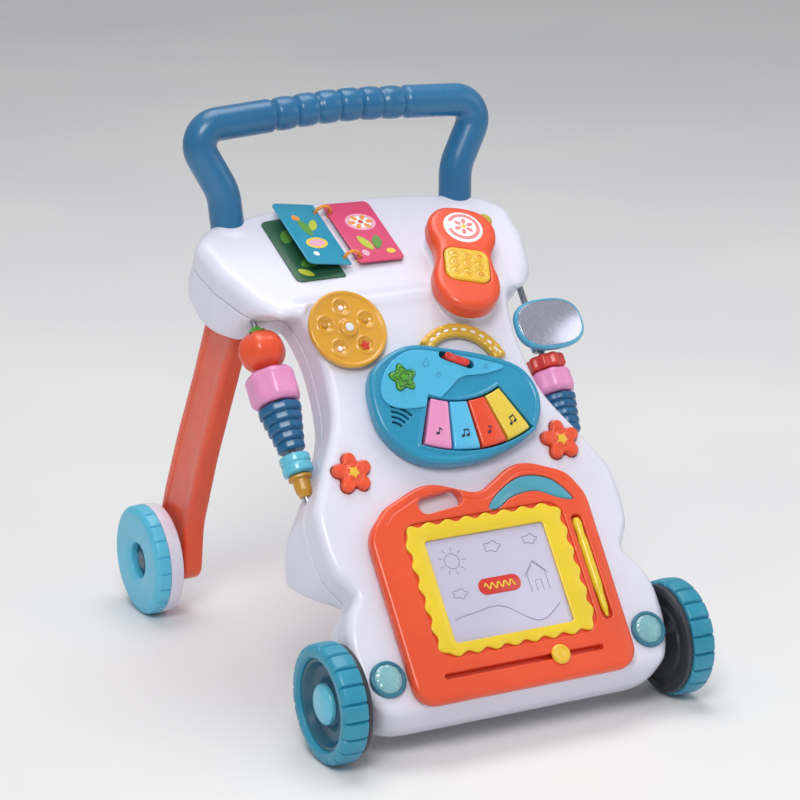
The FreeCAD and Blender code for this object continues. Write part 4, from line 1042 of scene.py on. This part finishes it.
def make_board():
    edge = Outline(rounded(BOARD), step=0.8, soft=2)
    bed = Outline(rounded_box(160, 124, 16, -2, 53))
    opening = Outline(rounded_box(118, 94, 3, SCREEN_X, SCREEN_V), step=0.7)
    finger = Outline(spun(rounded_box(44, 16, 7.6), 6, -36, 131), step=0.6)
    window = Outline(smooth(WINDOW), step=0.6)
    pen_bed = Outline(rounded_box(10.6, 99, 4.5, PEN_X, 49), step=0.6)
    slot = Outline(rounded_box(158, 5, 2.4, -4, SLOT_V), step=0.5)

    def frame_field(x, v, n):
        away = edge(x, v)
        crown = BOARD_TOP + 0.5 * np.clip(-away / 9, 0, 1)
        body = both(away, slab(n, 0.3, crown), 4.2)
        for cut, floor, soft in ((bed, 9.6, 0.8), (opening, 5.5, 0.6), (finger, -2, 1.6), (window, 7.4, 0.8),
                                 (pen_bed, 6.2, 1.2), (slot, 4.3, 0.9)):
            body = carved(body, np.maximum(cut(x, v), slab(n, floor, 30)), soft)
        groove = np.abs(away + 8.5) - 0.6
        above = np.maximum(groove, slab(n, 12.1, 30) + 0 * v)
        return carved(body, np.maximum(above, 118 - v), 0.5)

    piece = mould("board_plate", FACE, (-116, -49, -0.5), (111, 160, 14), 0.85, frame_field, thin=0.35)
    dress(piece, "drawing_board", "board_frame", "board_green", "orange_red")

    wavy = Outline(wavy_box(155.4, 119.4, 12, -2, 53, 1.8, 28), step=0.5)

    def bezel_field(x, v, n):
        away = wavy(x, v)
        swell = 12.4 + 0.5 * np.clip((-away - 1) / 4, 0, 1) - 0.9 * np.clip((6 - opening(x, v)) / 6, 0, 1)
        body = both(away, slab(n, 9.4, swell), 1.3)
        return carved(body, np.maximum(opening(x, v), slab(n, 2, 30)), 1.0)

    piece = mould("board_surround", FACE, (-84, -11, 8.6), (80, 117, 13.6), 0.6, bezel_field, thin=0.35)
    dress(piece, "drawing_board", "board_bezel", "bezel_yellow")
    sheet = plate("board_sheet", FACE, rounded_box(122, 98, 3, SCREEN_X, SCREEN_V), 7.4, 9.3, 0.2)
    dress(sheet, "drawing_board", "board_screen", "screen_lilac")
    doodles(at(FACE, SCREEN_X, SCREEN_V, 9.32))

    def window_field(x, v, n):
        away = window(x, v)
        return both(away + 0.3, slab(n, 7.5, 11.6 + 0.9 * np.clip(-away / 5, 0, 1)), 1)

    piece = mould("board_pane", FACE, (5, 110, 7), (96, 145, 13), 0.55, window_field, thin=0.35)
    dress(piece, "drawing_board", "board_window", "window_cyan")
    label = plate("board_label", FACE, rounded_box(42, 15, 7.4, SCREEN_X, SCREEN_V - 2), 9.0, 9.75, 0.3)
    dress(label, "drawing_board", None, "board_green", "slider_red")
    squiggle = [(-15 + 0.5 * i, 2.6 * math.sin(i * 0.5), 0) for i in range(61)]
    line = swept("label_squiggle", at(FACE, SCREEN_X, SCREEN_V - 2, 9.75), squiggle, 0.7, 8)
    dress(line, "drawing_board", None, "bezel_yellow")

    knob = turned("eraser_knob", at(FACE, 31, SLOT_V, 5.3),
                  [(0.02, 0, 0), (2, 0, 0), (2, 7.5, 0), (9, 7.5, 0.6), (9, 9.2, 1.2), (7, 11.2, 1.6), (4, 10.6, 1.5),
                   (0.02, 11.2, 0)], 5, 72)
    dress(knob, "eraser_slider", "eraser_slider", "keypad_yellow")
    seat = at(FACE, PEN_X, 2, BOARD_TOP - 1.6) @ Matrix.Rotation(math.radians(-90), 4, "X")

    def facets(radius, height, angle):
        ribs = 0.18 * np.cos(angle * 24) * (height > 32) * (height < 68)
        return radius + ribs * (radius > 4), height

    pen_form = [(0.02, 0, 0), (1.3, 0.6, 0.6), (3, 8, 1), (3.4, 22, 2), (4.4, 30, 3), (4.4, 70, 3), (3.6, 78, 2),
                (4.2, 88, 3), (3, 93, 1.6), (0.02, 94, 0)]
    pen = turned("pen_body", seat, pen_form, 4, 96, facets)
    dress(pen, "magnetic_pen", "magnetic_pen", "bezel_yellow")


def doodles(seat):
    """Faint printed pictures on the drawing sheet: a sun, a hill, a house and clouds."""
    sun = [swept("sun_ring", seat, [(-38 + 7 * math.cos(a), 26 + 7 * math.sin(a), 0)
                                    for a in np.linspace(0, 2 * math.pi, 40, endpoint=False)], 0.35, 6, closed=True)]
    for i in range(9):
        a = 2 * math.pi * i / 9
        sun.append(swept(f"sun_ray_{i}", seat, [(-38 + r * math.cos(a), 26 + r * math.sin(a), 0)
                                                for r in (9.5, 13)], 0.35, 6))
    hill = swept("hill", seat, [(x, -28 + 9 * math.sin((x + 50) / 17) + 3 * math.cos(x / 9), 0)
                                for x in np.linspace(-52, 52, 90)], 0.4, 6)
    house = [swept(f"house_{k}", seat, line, 0.35, 6) for k, line in enumerate((
        [(29, -14, 0), (29, 3, 0), (38, 13, 0), (47, 3, 0), (47, -14, 0)],
        [(26, 1, 0), (38, 14.5, 0), (50, 1, 0)], [(35, -14, 0), (35, -4, 0), (41, -4, 0), (41, -14, 0)]))]
    turns = np.linspace(0, 2 * math.pi, 50, endpoint=False)
    clouds = []
    for k, (x, y, size) in enumerate(((4, 33, 4.5), (42, 34, 4), (-40, -4, 4))):
        reach = [size * (1 + 0.18 * math.cos(5 * a)) for a in turns]
        edge = [(x + r * math.cos(a) * 1.7, y + r * math.sin(a), 0) for r, a in zip(reach, turns)]
        clouds.append(swept(f"cloud_{k}", seat, edge, 0.35, 6, closed=True))
    dress(merged("sheet_doodles", sun + [hill] + house + clouds), "drawing_board", None, "screen_lilac", "ink_grey")


make_board()

# ------------------------------------------------------------------ phone
PHONE_THICK = 20


def make_phone():
    edge = Outline(smooth(PHONE_OUTLINE), step=0.6)
    pad_hole = Outline(rounded_box(43, 41, 10, 0, -14), step=0.5)

    def shell(x, y, n):
        away = edge(x, y)
        waist = 1.6 * np.exp(-((y - 10) / 9) ** 2) * np.clip((away + 9) / 9, 0, 1)
        crown = PHONE_THICK - waist
        body = both(away, slab(n, 0, crown), 6.5)
        body = carved(body, np.maximum(pad_hole(x, y), slab(n, 14, 40)), 1.2)
        dial = np.maximum(np.hypot(x, y - 34) - 19.2, slab(n, PHONE_THICK - 2.0, 15))
        body = carved(body, dial, 1.0)
        return joined(body, both(np.hypot(x - 24, y - 55) - 7.6, slab(n, 6, 14.6), 2.5), 1.5)

    piece = mould("phone_case", PHONE, (-36, -68, -1), (36, 66, 22), 0.75, shell, thin=0.35)
    dress(piece, "phone", "phone_shell", "orange_red")
    ear = lathe("phone_ear_cap", at(PHONE, 24, 55, 14.2),
                [(0.01, -1), (6.4, -1), (6.6, -0.2), *dome(6.6, 0, 1.0, 0.1, 1.5, 7), (0.01, 1.0)], 40)
    dress(ear, "phone", None, "keypad_yellow", "ear_green")

    seat = at(PHONE, 0, 34, PHONE_THICK - 2)
    dial = turned("phone_face", seat, [(0.02, 0, 0), (19, 0, 0), (19, 2, 0.8), (17, 2.7, 1.2), (8, 3.4, 8),
                                       (0.02, 3.6, 0)], 6, 96)
    dress(dial, "phone", "phone_dial", "dial_pink", "print_white")
    prints = [plate("dial_ring", at(seat, 0, 0, 2.6), ring_sector(0, 0, 12.2, 15.6, 200, 520, 48), -0.6, 0.55, 0)]
    for i in range(6):
        a = 2 * math.pi * (i + 0.5) / 6
        prints.append(plate(f"dial_petal_{i}", at(seat, 6.4 * math.cos(a), 6.4 * math.sin(a), 2.6, math.degrees(a)),
                            oval(6.6, 4.2), -0.6, 0.95, 0))
    dress(merged("dial_prints", prints), "phone", None, "dial_pink")
    heart = plate("dial_heart", at(seat, 0, 0, 2.6), oval(4.6, 4.6), -0.6, 1.05, 0)
    dress(heart, "phone", None, "dial_pink", "bezel_yellow")

    pad_edge = Outline(rounded_box(42, 40, 9.6), step=0.4)

    def pad_field(x, y, n):
        away = pad_edge(x, y)
        body = both(away, slab(n, 0, 5.3 + 0.7 * np.clip(-away / 10, 0, 1)), 1.8)
        for i in range(3):
            for j in range(3):
                cx, cy = (i - 1) * 11.6, (j - 1) * 10.8
                ring = np.abs(np.hypot((x - cx) * 0.92, y - cy) - 4.5) - 0.35
                body = carved(body, np.maximum(ring, slab(n, 5.2, 20)), 0.5)
        return body

    piece = mould("phone_keys", at(PHONE, 0, -14, PHONE_THICK - 4), (-23, -22, -1), (23, 22, 7), 0.45, pad_field,
                  thin=0.35)
    dress(piece, "phone_keypad", "phone_keypad", "keypad_yellow")
    marks = []
    for i in range(3):
        for j in range(3):
            spot = at(PHONE, (i - 1) * 11.6, -14 + (j - 1) * 10.8, PHONE_THICK - 4 + 5.9)
            sides = 3 + (i + 2 * j) % 4
            reach = [(2.1 * math.cos(a + 1.57), 2.1 * math.sin(a + 1.57))
                     for a in np.linspace(0, 2 * math.pi, sides, endpoint=False)]
            marks.append(swept(f"key_mark_{i}_{j}", spot, [(x, y, 0) for x, y in reach], 0.32, 6, closed=True))
    dress(merged("keypad_marks", marks), "phone_keypad", None, "keypad_yellow", "slider_red")
    arc = [(20.5 * math.cos(a), 34 + 20.5 * math.sin(a), PHONE_THICK - 0.9) for a in np.linspace(3.5, 5.9, 30)]
    dress(swept("phone_smile", PHONE, arc, 0.5, 8), "phone", None, "orange_red", "slider_red")


make_phone()

# ------------------------------------------------------------------ picture book
HINGE_X, HINGE_H = -30, 5
RINGS, RING_RADIUS, PAGE_THICK = (50, 116), 8, 1.6


def page_frame(lean, low):
    return at(HEAD, HINGE_X, low, HINGE_H) @ Matrix.Rotation(math.radians(-lean), 4, "Y")


def page_outline(reach, length, low):
    """A page with a soft outer edge and bites for the rings."""
    edge = Outline(rounded([(4.5, 0, 1.5), (reach, 0, 6), (reach, length, 6), (4.5, length, 1.5)]), step=0.5)

    def field(x, y, n):
        body = both(edge(x, y), np.abs(n) - PAGE_THICK / 2, 0.7)
        for spot in RINGS:
            body = carved(body, np.hypot(x - RING_RADIUS, y - (spot - low)) - 2.4, 0.4)
        return body

    return field


def picture(name, seat, body, slot, shapes):
    """Thin printed shapes on a page: (outline, material)."""
    by_colour = {}
    for k, (outline, material) in enumerate(shapes):
        piece = plate(f"{name}_{k}", seat, outline, -0.3, 0.16 + 0.03 * k, 0)
        by_colour.setdefault(material, []).append(piece)
    for material, pieces in by_colour.items():
        dress(merged(f"{name}_{material}", pieces), body, None, slot, material)


def leaf(x, y, length, width, turn):
    return spun([(length / 2 * math.cos(a), width / 2 * math.sin(a) * abs(math.sin(a)) ** 0.4)
                 for a in np.linspace(0, 2 * math.pi, 28, endpoint=False)], turn, x, y)


def make_book():
    back_edge = Outline(rounded([(-92, 31, 6), (-43, 31, 2), (-43, 122, 2), (-92, 118, 6)]), step=0.6)
    piece = mould("page_back", HEAD, (-95, 28, -0.8), (-40, 125, 2.6), 0.5,
                  lambda x, y, n: both(back_edge(x, y), slab(n, 0.1, 1.6), 0.7), thin=0.3)
    dress(piece, "panel", "book_page_left", "page_green", "print_dark_green")
    seat = at(HEAD, -67, 76, 1.6)
    picture("back_print", seat, "panel", "page_green",
            [(leaf(-8, 18, 22, 12, 60), "print_green"), (leaf(10, 24, 20, 11, 120), "print_green"),
             (leaf(0, -20, 26, 13, 20), "print_green"), (oval(16, 16, x=4, y=0), "print_lime"),
             (oval(9, 9, x=4, y=0), "slider_red"), (leaf(-12, -34, 16, 8, 140), "print_lime")])

    for name, lean, reach, low, high, slot, colour in (
            ("middle", 170, 50, 40, 128, "page_teal", "print_teal"),
            ("right", -2, 52, 42, 128, "page_pink", "print_pink")):
        seat = page_frame(lean, low)
        piece = mould(f"page_{name}", seat, (2, -3, -1.8), (reach + 3, high - low + 3, 1.8), 0.45,
                      page_outline(reach, high - low, low), thin=0.3)
        dress(piece, f"book_page_{name}", f"book_page_{name}", slot, colour)

    seat = page_frame(170, 40) @ Matrix.Translation((0, 0, -PAGE_THICK / 2)) @ Matrix.Rotation(math.pi, 4, "X")
    picture("middle_print", seat, "book_page_middle", "page_teal",
            [(spun(oval(24, 15), 14, 28, -30), "bezel_yellow"), (spun(oval(18, 10), 14, 28, -30), "print_rose"),
             (leaf(30, -52, 24, 10, 100), "print_green"), (leaf(20, -56, 18, 8, 60), "print_lime"),
             (oval(8, 8, x=34, y=-66), "ring_orange"), (oval(6, 6, x=36, y=-14), "print_white")])
    seat = page_frame(-2, 42) @ Matrix.Translation((0, 0, PAGE_THICK / 2))
    shapes = [(spun(oval(30, 24), 0, 31, 56), "print_rose"), (spun(oval(22, 17), 0, 31, 56), "print_white")]
    shapes += [(leaf(31 + 9 * math.cos(a), 56 + 7 * math.sin(a), 8, 5, math.degrees(a)), "ring_orange")
               for a in np.linspace(0, 2 * math.pi, 6, endpoint=False)]
    shapes += [(oval(5, 5, x=31, y=56), "slider_red"), (leaf(22, 26, 22, 9, 110), "print_lime"),
               (leaf(34, 26, 20, 9, 70), "print_green"), (oval(9, 7, x=42, y=12), "bezel_yellow"),
               (oval(7, 9, x=16, y=12), "print_rose")]
    picture("right_print", seat, "book_page_right", "page_pink", shapes)

    loops = []
    for i, spot in enumerate(RINGS):
        line = [(HINGE_X + RING_RADIUS * math.cos(a), spot, HINGE_H + RING_RADIUS * math.sin(a))
                for a in np.linspace(math.radians(-38), math.radians(218), 60)]
        loops.append(swept(f"book_loop_{i}", HEAD, line, 1.6, 20))
    dress(merged("book_loops", loops), "panel", "book_rings", "ring_orange")


make_book()

# ------------------------------------------------------------------ side rollers
ROD_RADIUS = 3
ROD_BORE = 3.05


def ball_profile(radius, length):
    steps = np.linspace(0.12 * math.pi, 0.88 * math.pi, 30)
    return [(radius * math.sin(a), length / 2 * (1 - math.cos(a) / math.cos(0.12 * math.pi))) for a in steps]


def barrel_corners(radius, length, soft):
    return [(radius - 4, 0, 1), (radius, 0.5, soft), (radius, length - 0.5, soft), (radius - 4, length, 1)]


def roller(name, side, low, length, corners, steps, around, shape, *dressing):
    """A turned piece on a side rod, from its low end; the bore closes its profile."""
    profile = [(ROD_BORE, 0, 0), *corners, (ROD_BORE, length, 0)]
    dress(turned(name, rod_frame(side, low), profile, steps, around, shape), *dressing)


def scallops(depth, count, inner=8.0):
    """Rings outside the inner radius swell and sink around the piece."""
    def shape(radius, height, angle):
        hold = np.clip((radius - inner) / 6, 0, 1)
        return radius - depth * hold * (0.5 - 0.5 * np.cos(count * angle)), height
    return shape


def sepals(radius, height, angle):
    """Cuts the stalk's disc into five leaves."""
    hold = np.clip((radius - 4.5) / 5, 0, 1)
    return radius * (1 - 0.42 * hold * (0.5 - 0.5 * np.cos(5 * angle))), height


def cone_corners(first, last, length, ribs=5):
    """A stack of ribs whose radius grows from first to last."""
    corners = []
    for i in range(ribs):
        radius = first + (last - first) * i / (ribs - 1)
        base, tall = length * i / ribs, length / ribs
        corners += [(radius - 2.2, base + 0.02, 0.4), (radius, base + tall * 0.2, 1.3),
                    (radius, base + tall * 0.8, 1.3), (radius - 2.2, base + tall - 0.02, 0.4)]
    return corners


def make_rollers():
    rod_form = [(0.02, 0, 0), (ROD_RADIUS, 0, 0.4), (ROD_RADIUS, 190, 0.4), (0.02, 190, 0)]
    for name, side in SIDES:
        rod = turned(f"rod_{name}", rod_frame(side, 152), rod_form, 4, 32)
        dress(rod, "panel", "side_rods" if side < 0 else None, "steel")

    fruit = lathe("tomato", rod_frame(-1, 291), [(ROD_BORE, 0), *ball_profile(22, 36), (ROD_BORE, 36)], 160,
                  scallops(1.7, 6, 6))
    dress(fruit, "roller_tomato", "roller_tomato", "orange_red")
    roller("tomato_stalk", -1, 326.4, 5.5, [(11, 0, 0.3), (10.5, 1.4, 0.6), (6, 2.4, 1), (4.6, 5.4, 0.5)], 5, 120,
           sepals, "roller_tomato", None, "orange_red", "star_green")
    roller("pink_left", -1, 257.5, 31, barrel_corners(23, 31, 7), 7, 168, scallops(1.5, 7),
           "roller_pink_left", "roller_pink_left", "roller_pink")
    roller("pink_right", 1, 226.5, 23, barrel_corners(20.5, 23, 6), 7, 168, scallops(1.4, 7),
           "roller_pink_right", "roller_pink_right", "roller_pink")
    roller("scalloped", 1, 250.5, 14, barrel_corners(19, 14, 4), 7, 180, scallops(2.2, 9),
           "roller_scalloped", "roller_scalloped", "roller_pink", "roller_red")
    for name, side, low, first, last, length in (("left", -1, 212.5, 13, 20, 43), ("right", 1, 188, 13, 18, 37)):
        roller(f"cone_{name}", side, low, length, cone_corners(first, last, length), 4, 128, scallops(0.8, 8, 9),
               f"roller_cone_{name}", f"roller_cone_{name}", "cone_blue")
    roller("ring_left", -1, 190, 19, [(9, 0, 1), (13.8, 1.4, 2), (13.8, 8, 2), (12.4, 9.5, 1), (13.8, 11, 2),
                                      (13.8, 17.6, 2), (9, 19, 1)], 5, 96, None,
           "roller_ring_left", "roller_ring_left", "cap_cyan")
    roller("tip_left", -1, 169, 20, [(5, 0, 1), (7.5, 6, 3), (8, 16, 1), (11, 17, 0.6), (11, 20, 1)], 5, 96,
           scallops(0.5, 8, 5), "panel", "roller_tip_left", "tip_ochre")


make_rollers()


def make_mirror():
    seat = at(FACE, 142, 290, -20)
    plate_edge = Outline(oval(70, 50, 2.6), step=0.6)
    glass_edge = Outline(oval(64.4, 44.4, 2.6), step=0.6)

    def field(x, y, n):
        away = plate_edge(x, y)
        body = both(away, slab(n, 0, 9 - 1.2 * np.clip((away + 4) / 4, 0, 1)), 3)
        body = carved(body, np.maximum(glass_edge(x, y), slab(n, 7, 20)), 0.6)
        dx, dn = x + 5.5, n + 15
        sleeve = both(np.hypot(dx, dn) - 8, np.abs(y) - 18, 1.2)
        stalk = np.maximum(slab(x, -10, -1), np.maximum(np.abs(y) - 9, slab(n, -10, 2)))
        body = joined(body, joined(sleeve, stalk, 1.5), 1.5)
        return np.maximum(body, ROD_BORE - np.hypot(dx, dn))

    piece = mould("mirror_holder", seat, (-37, -27, -25), (37, 27, 11), 0.7, field, thin=0.35)
    dress(piece, "mirror", "mirror_frame", "mirror_blue")
    glass = plate("mirror_face", seat, oval(64, 44, 2.6), 7, 8.35, 0.4, 3)
    dress(glass, "mirror", "mirror_glass", "mirror")


make_mirror()

# ------------------------------------------------------------------ parts that keep their CAD shape
for node_name, material in (("wheel_axles", "steel"), ("piano_circuit_board", "circuit_green"),
                            ("speaker", "dark_part"), ("battery_box", "dark_part"), ("batteries", "cell_wrap")):
    mesh = frame["nodes"][node_name].data
    mesh.materials.clear()
    mesh.materials.append(COLOURS[material])

# ------------------------------------------------------------------ floor, lights, camera
def make_floor():
    material, tree, shader = plain_nodes("studio_floor")
    coords = tree.nodes.new("ShaderNodeTexCoord")
    tint = noise(tree, coords, 1.5, 2)
    patches = ramp(tree, tint.outputs["Fac"], 0.4, 0.6, 0, 1)
    tree.links.new(blended(tree, patches, (0.80, 0.80, 0.81), (0.84, 0.84, 0.84)),
                   shader.inputs["Base Color"])
    shader.inputs["Roughness"].default_value = 0.75
    mesh = bpy.data.meshes.new("studio_floor")
    reach = 12.0
    corners = [(-reach, -reach, 0), (reach, -reach, 0), (reach, reach, 0), (-reach, reach, 0)]
    mesh.from_pydata(corners, [], [(0, 1, 2, 3)])
    floor = bpy.data.objects.new("studio_floor", mesh)
    bpy.context.scene.collection.objects.link(floor)
    mesh.materials.append(material)


def aim(thing, spot):
    thing.rotation_euler = (Vector(spot) - thing.location).to_track_quat("-Z", "Y").to_euler()


def area_light(name, location, spot, size, power, colour=(1, 1, 1)):
    light = bpy.data.lights.new(name, "AREA")
    light.shape = "DISK"
    light.size, light.energy, light.color = size, power, colour
    lamp = bpy.data.objects.new(name, light)
    lamp.location = location
    bpy.context.scene.collection.objects.link(lamp)
    aim(lamp, spot)


def make_studio():
    make_floor()
    area_light("key_light", (-1.3, -2.0, 2.6), (0, 0, 0.2), 1.3, 46, (1.0, 0.985, 0.96))
    area_light("fill_light", (2.4, -1.6, 1.6), (0, 0, 0.25), 2.0, 9, (0.96, 0.98, 1.0))
    area_light("top_light", (0.2, 0.5, 3.0), (0, 0, 0.2), 2.2, 40)
    world = bpy.data.worlds.new("studio_world")
    world.use_nodes = True
    backdrop = world.node_tree.nodes["Background"]
    backdrop.inputs["Color"].default_value = (0.92, 0.93, 0.95, 1)
    backdrop.inputs["Strength"].default_value = 0.42
    scene = bpy.context.scene
    scene.world = world
    lens = bpy.data.cameras.new("front_camera")
    lens.lens, lens.sensor_width = 146, 36
    lens.clip_start, lens.clip_end = 0.05, 60
    camera = bpy.data.objects.new("front_camera", lens)
    camera.location = (-1.331, -2.505, 1.078)
    scene.collection.objects.link(camera)
    aim(camera, (0.005, 0, 0.243))
    scene.camera = camera
    scene.view_settings.view_transform = "Standard"


make_studio()
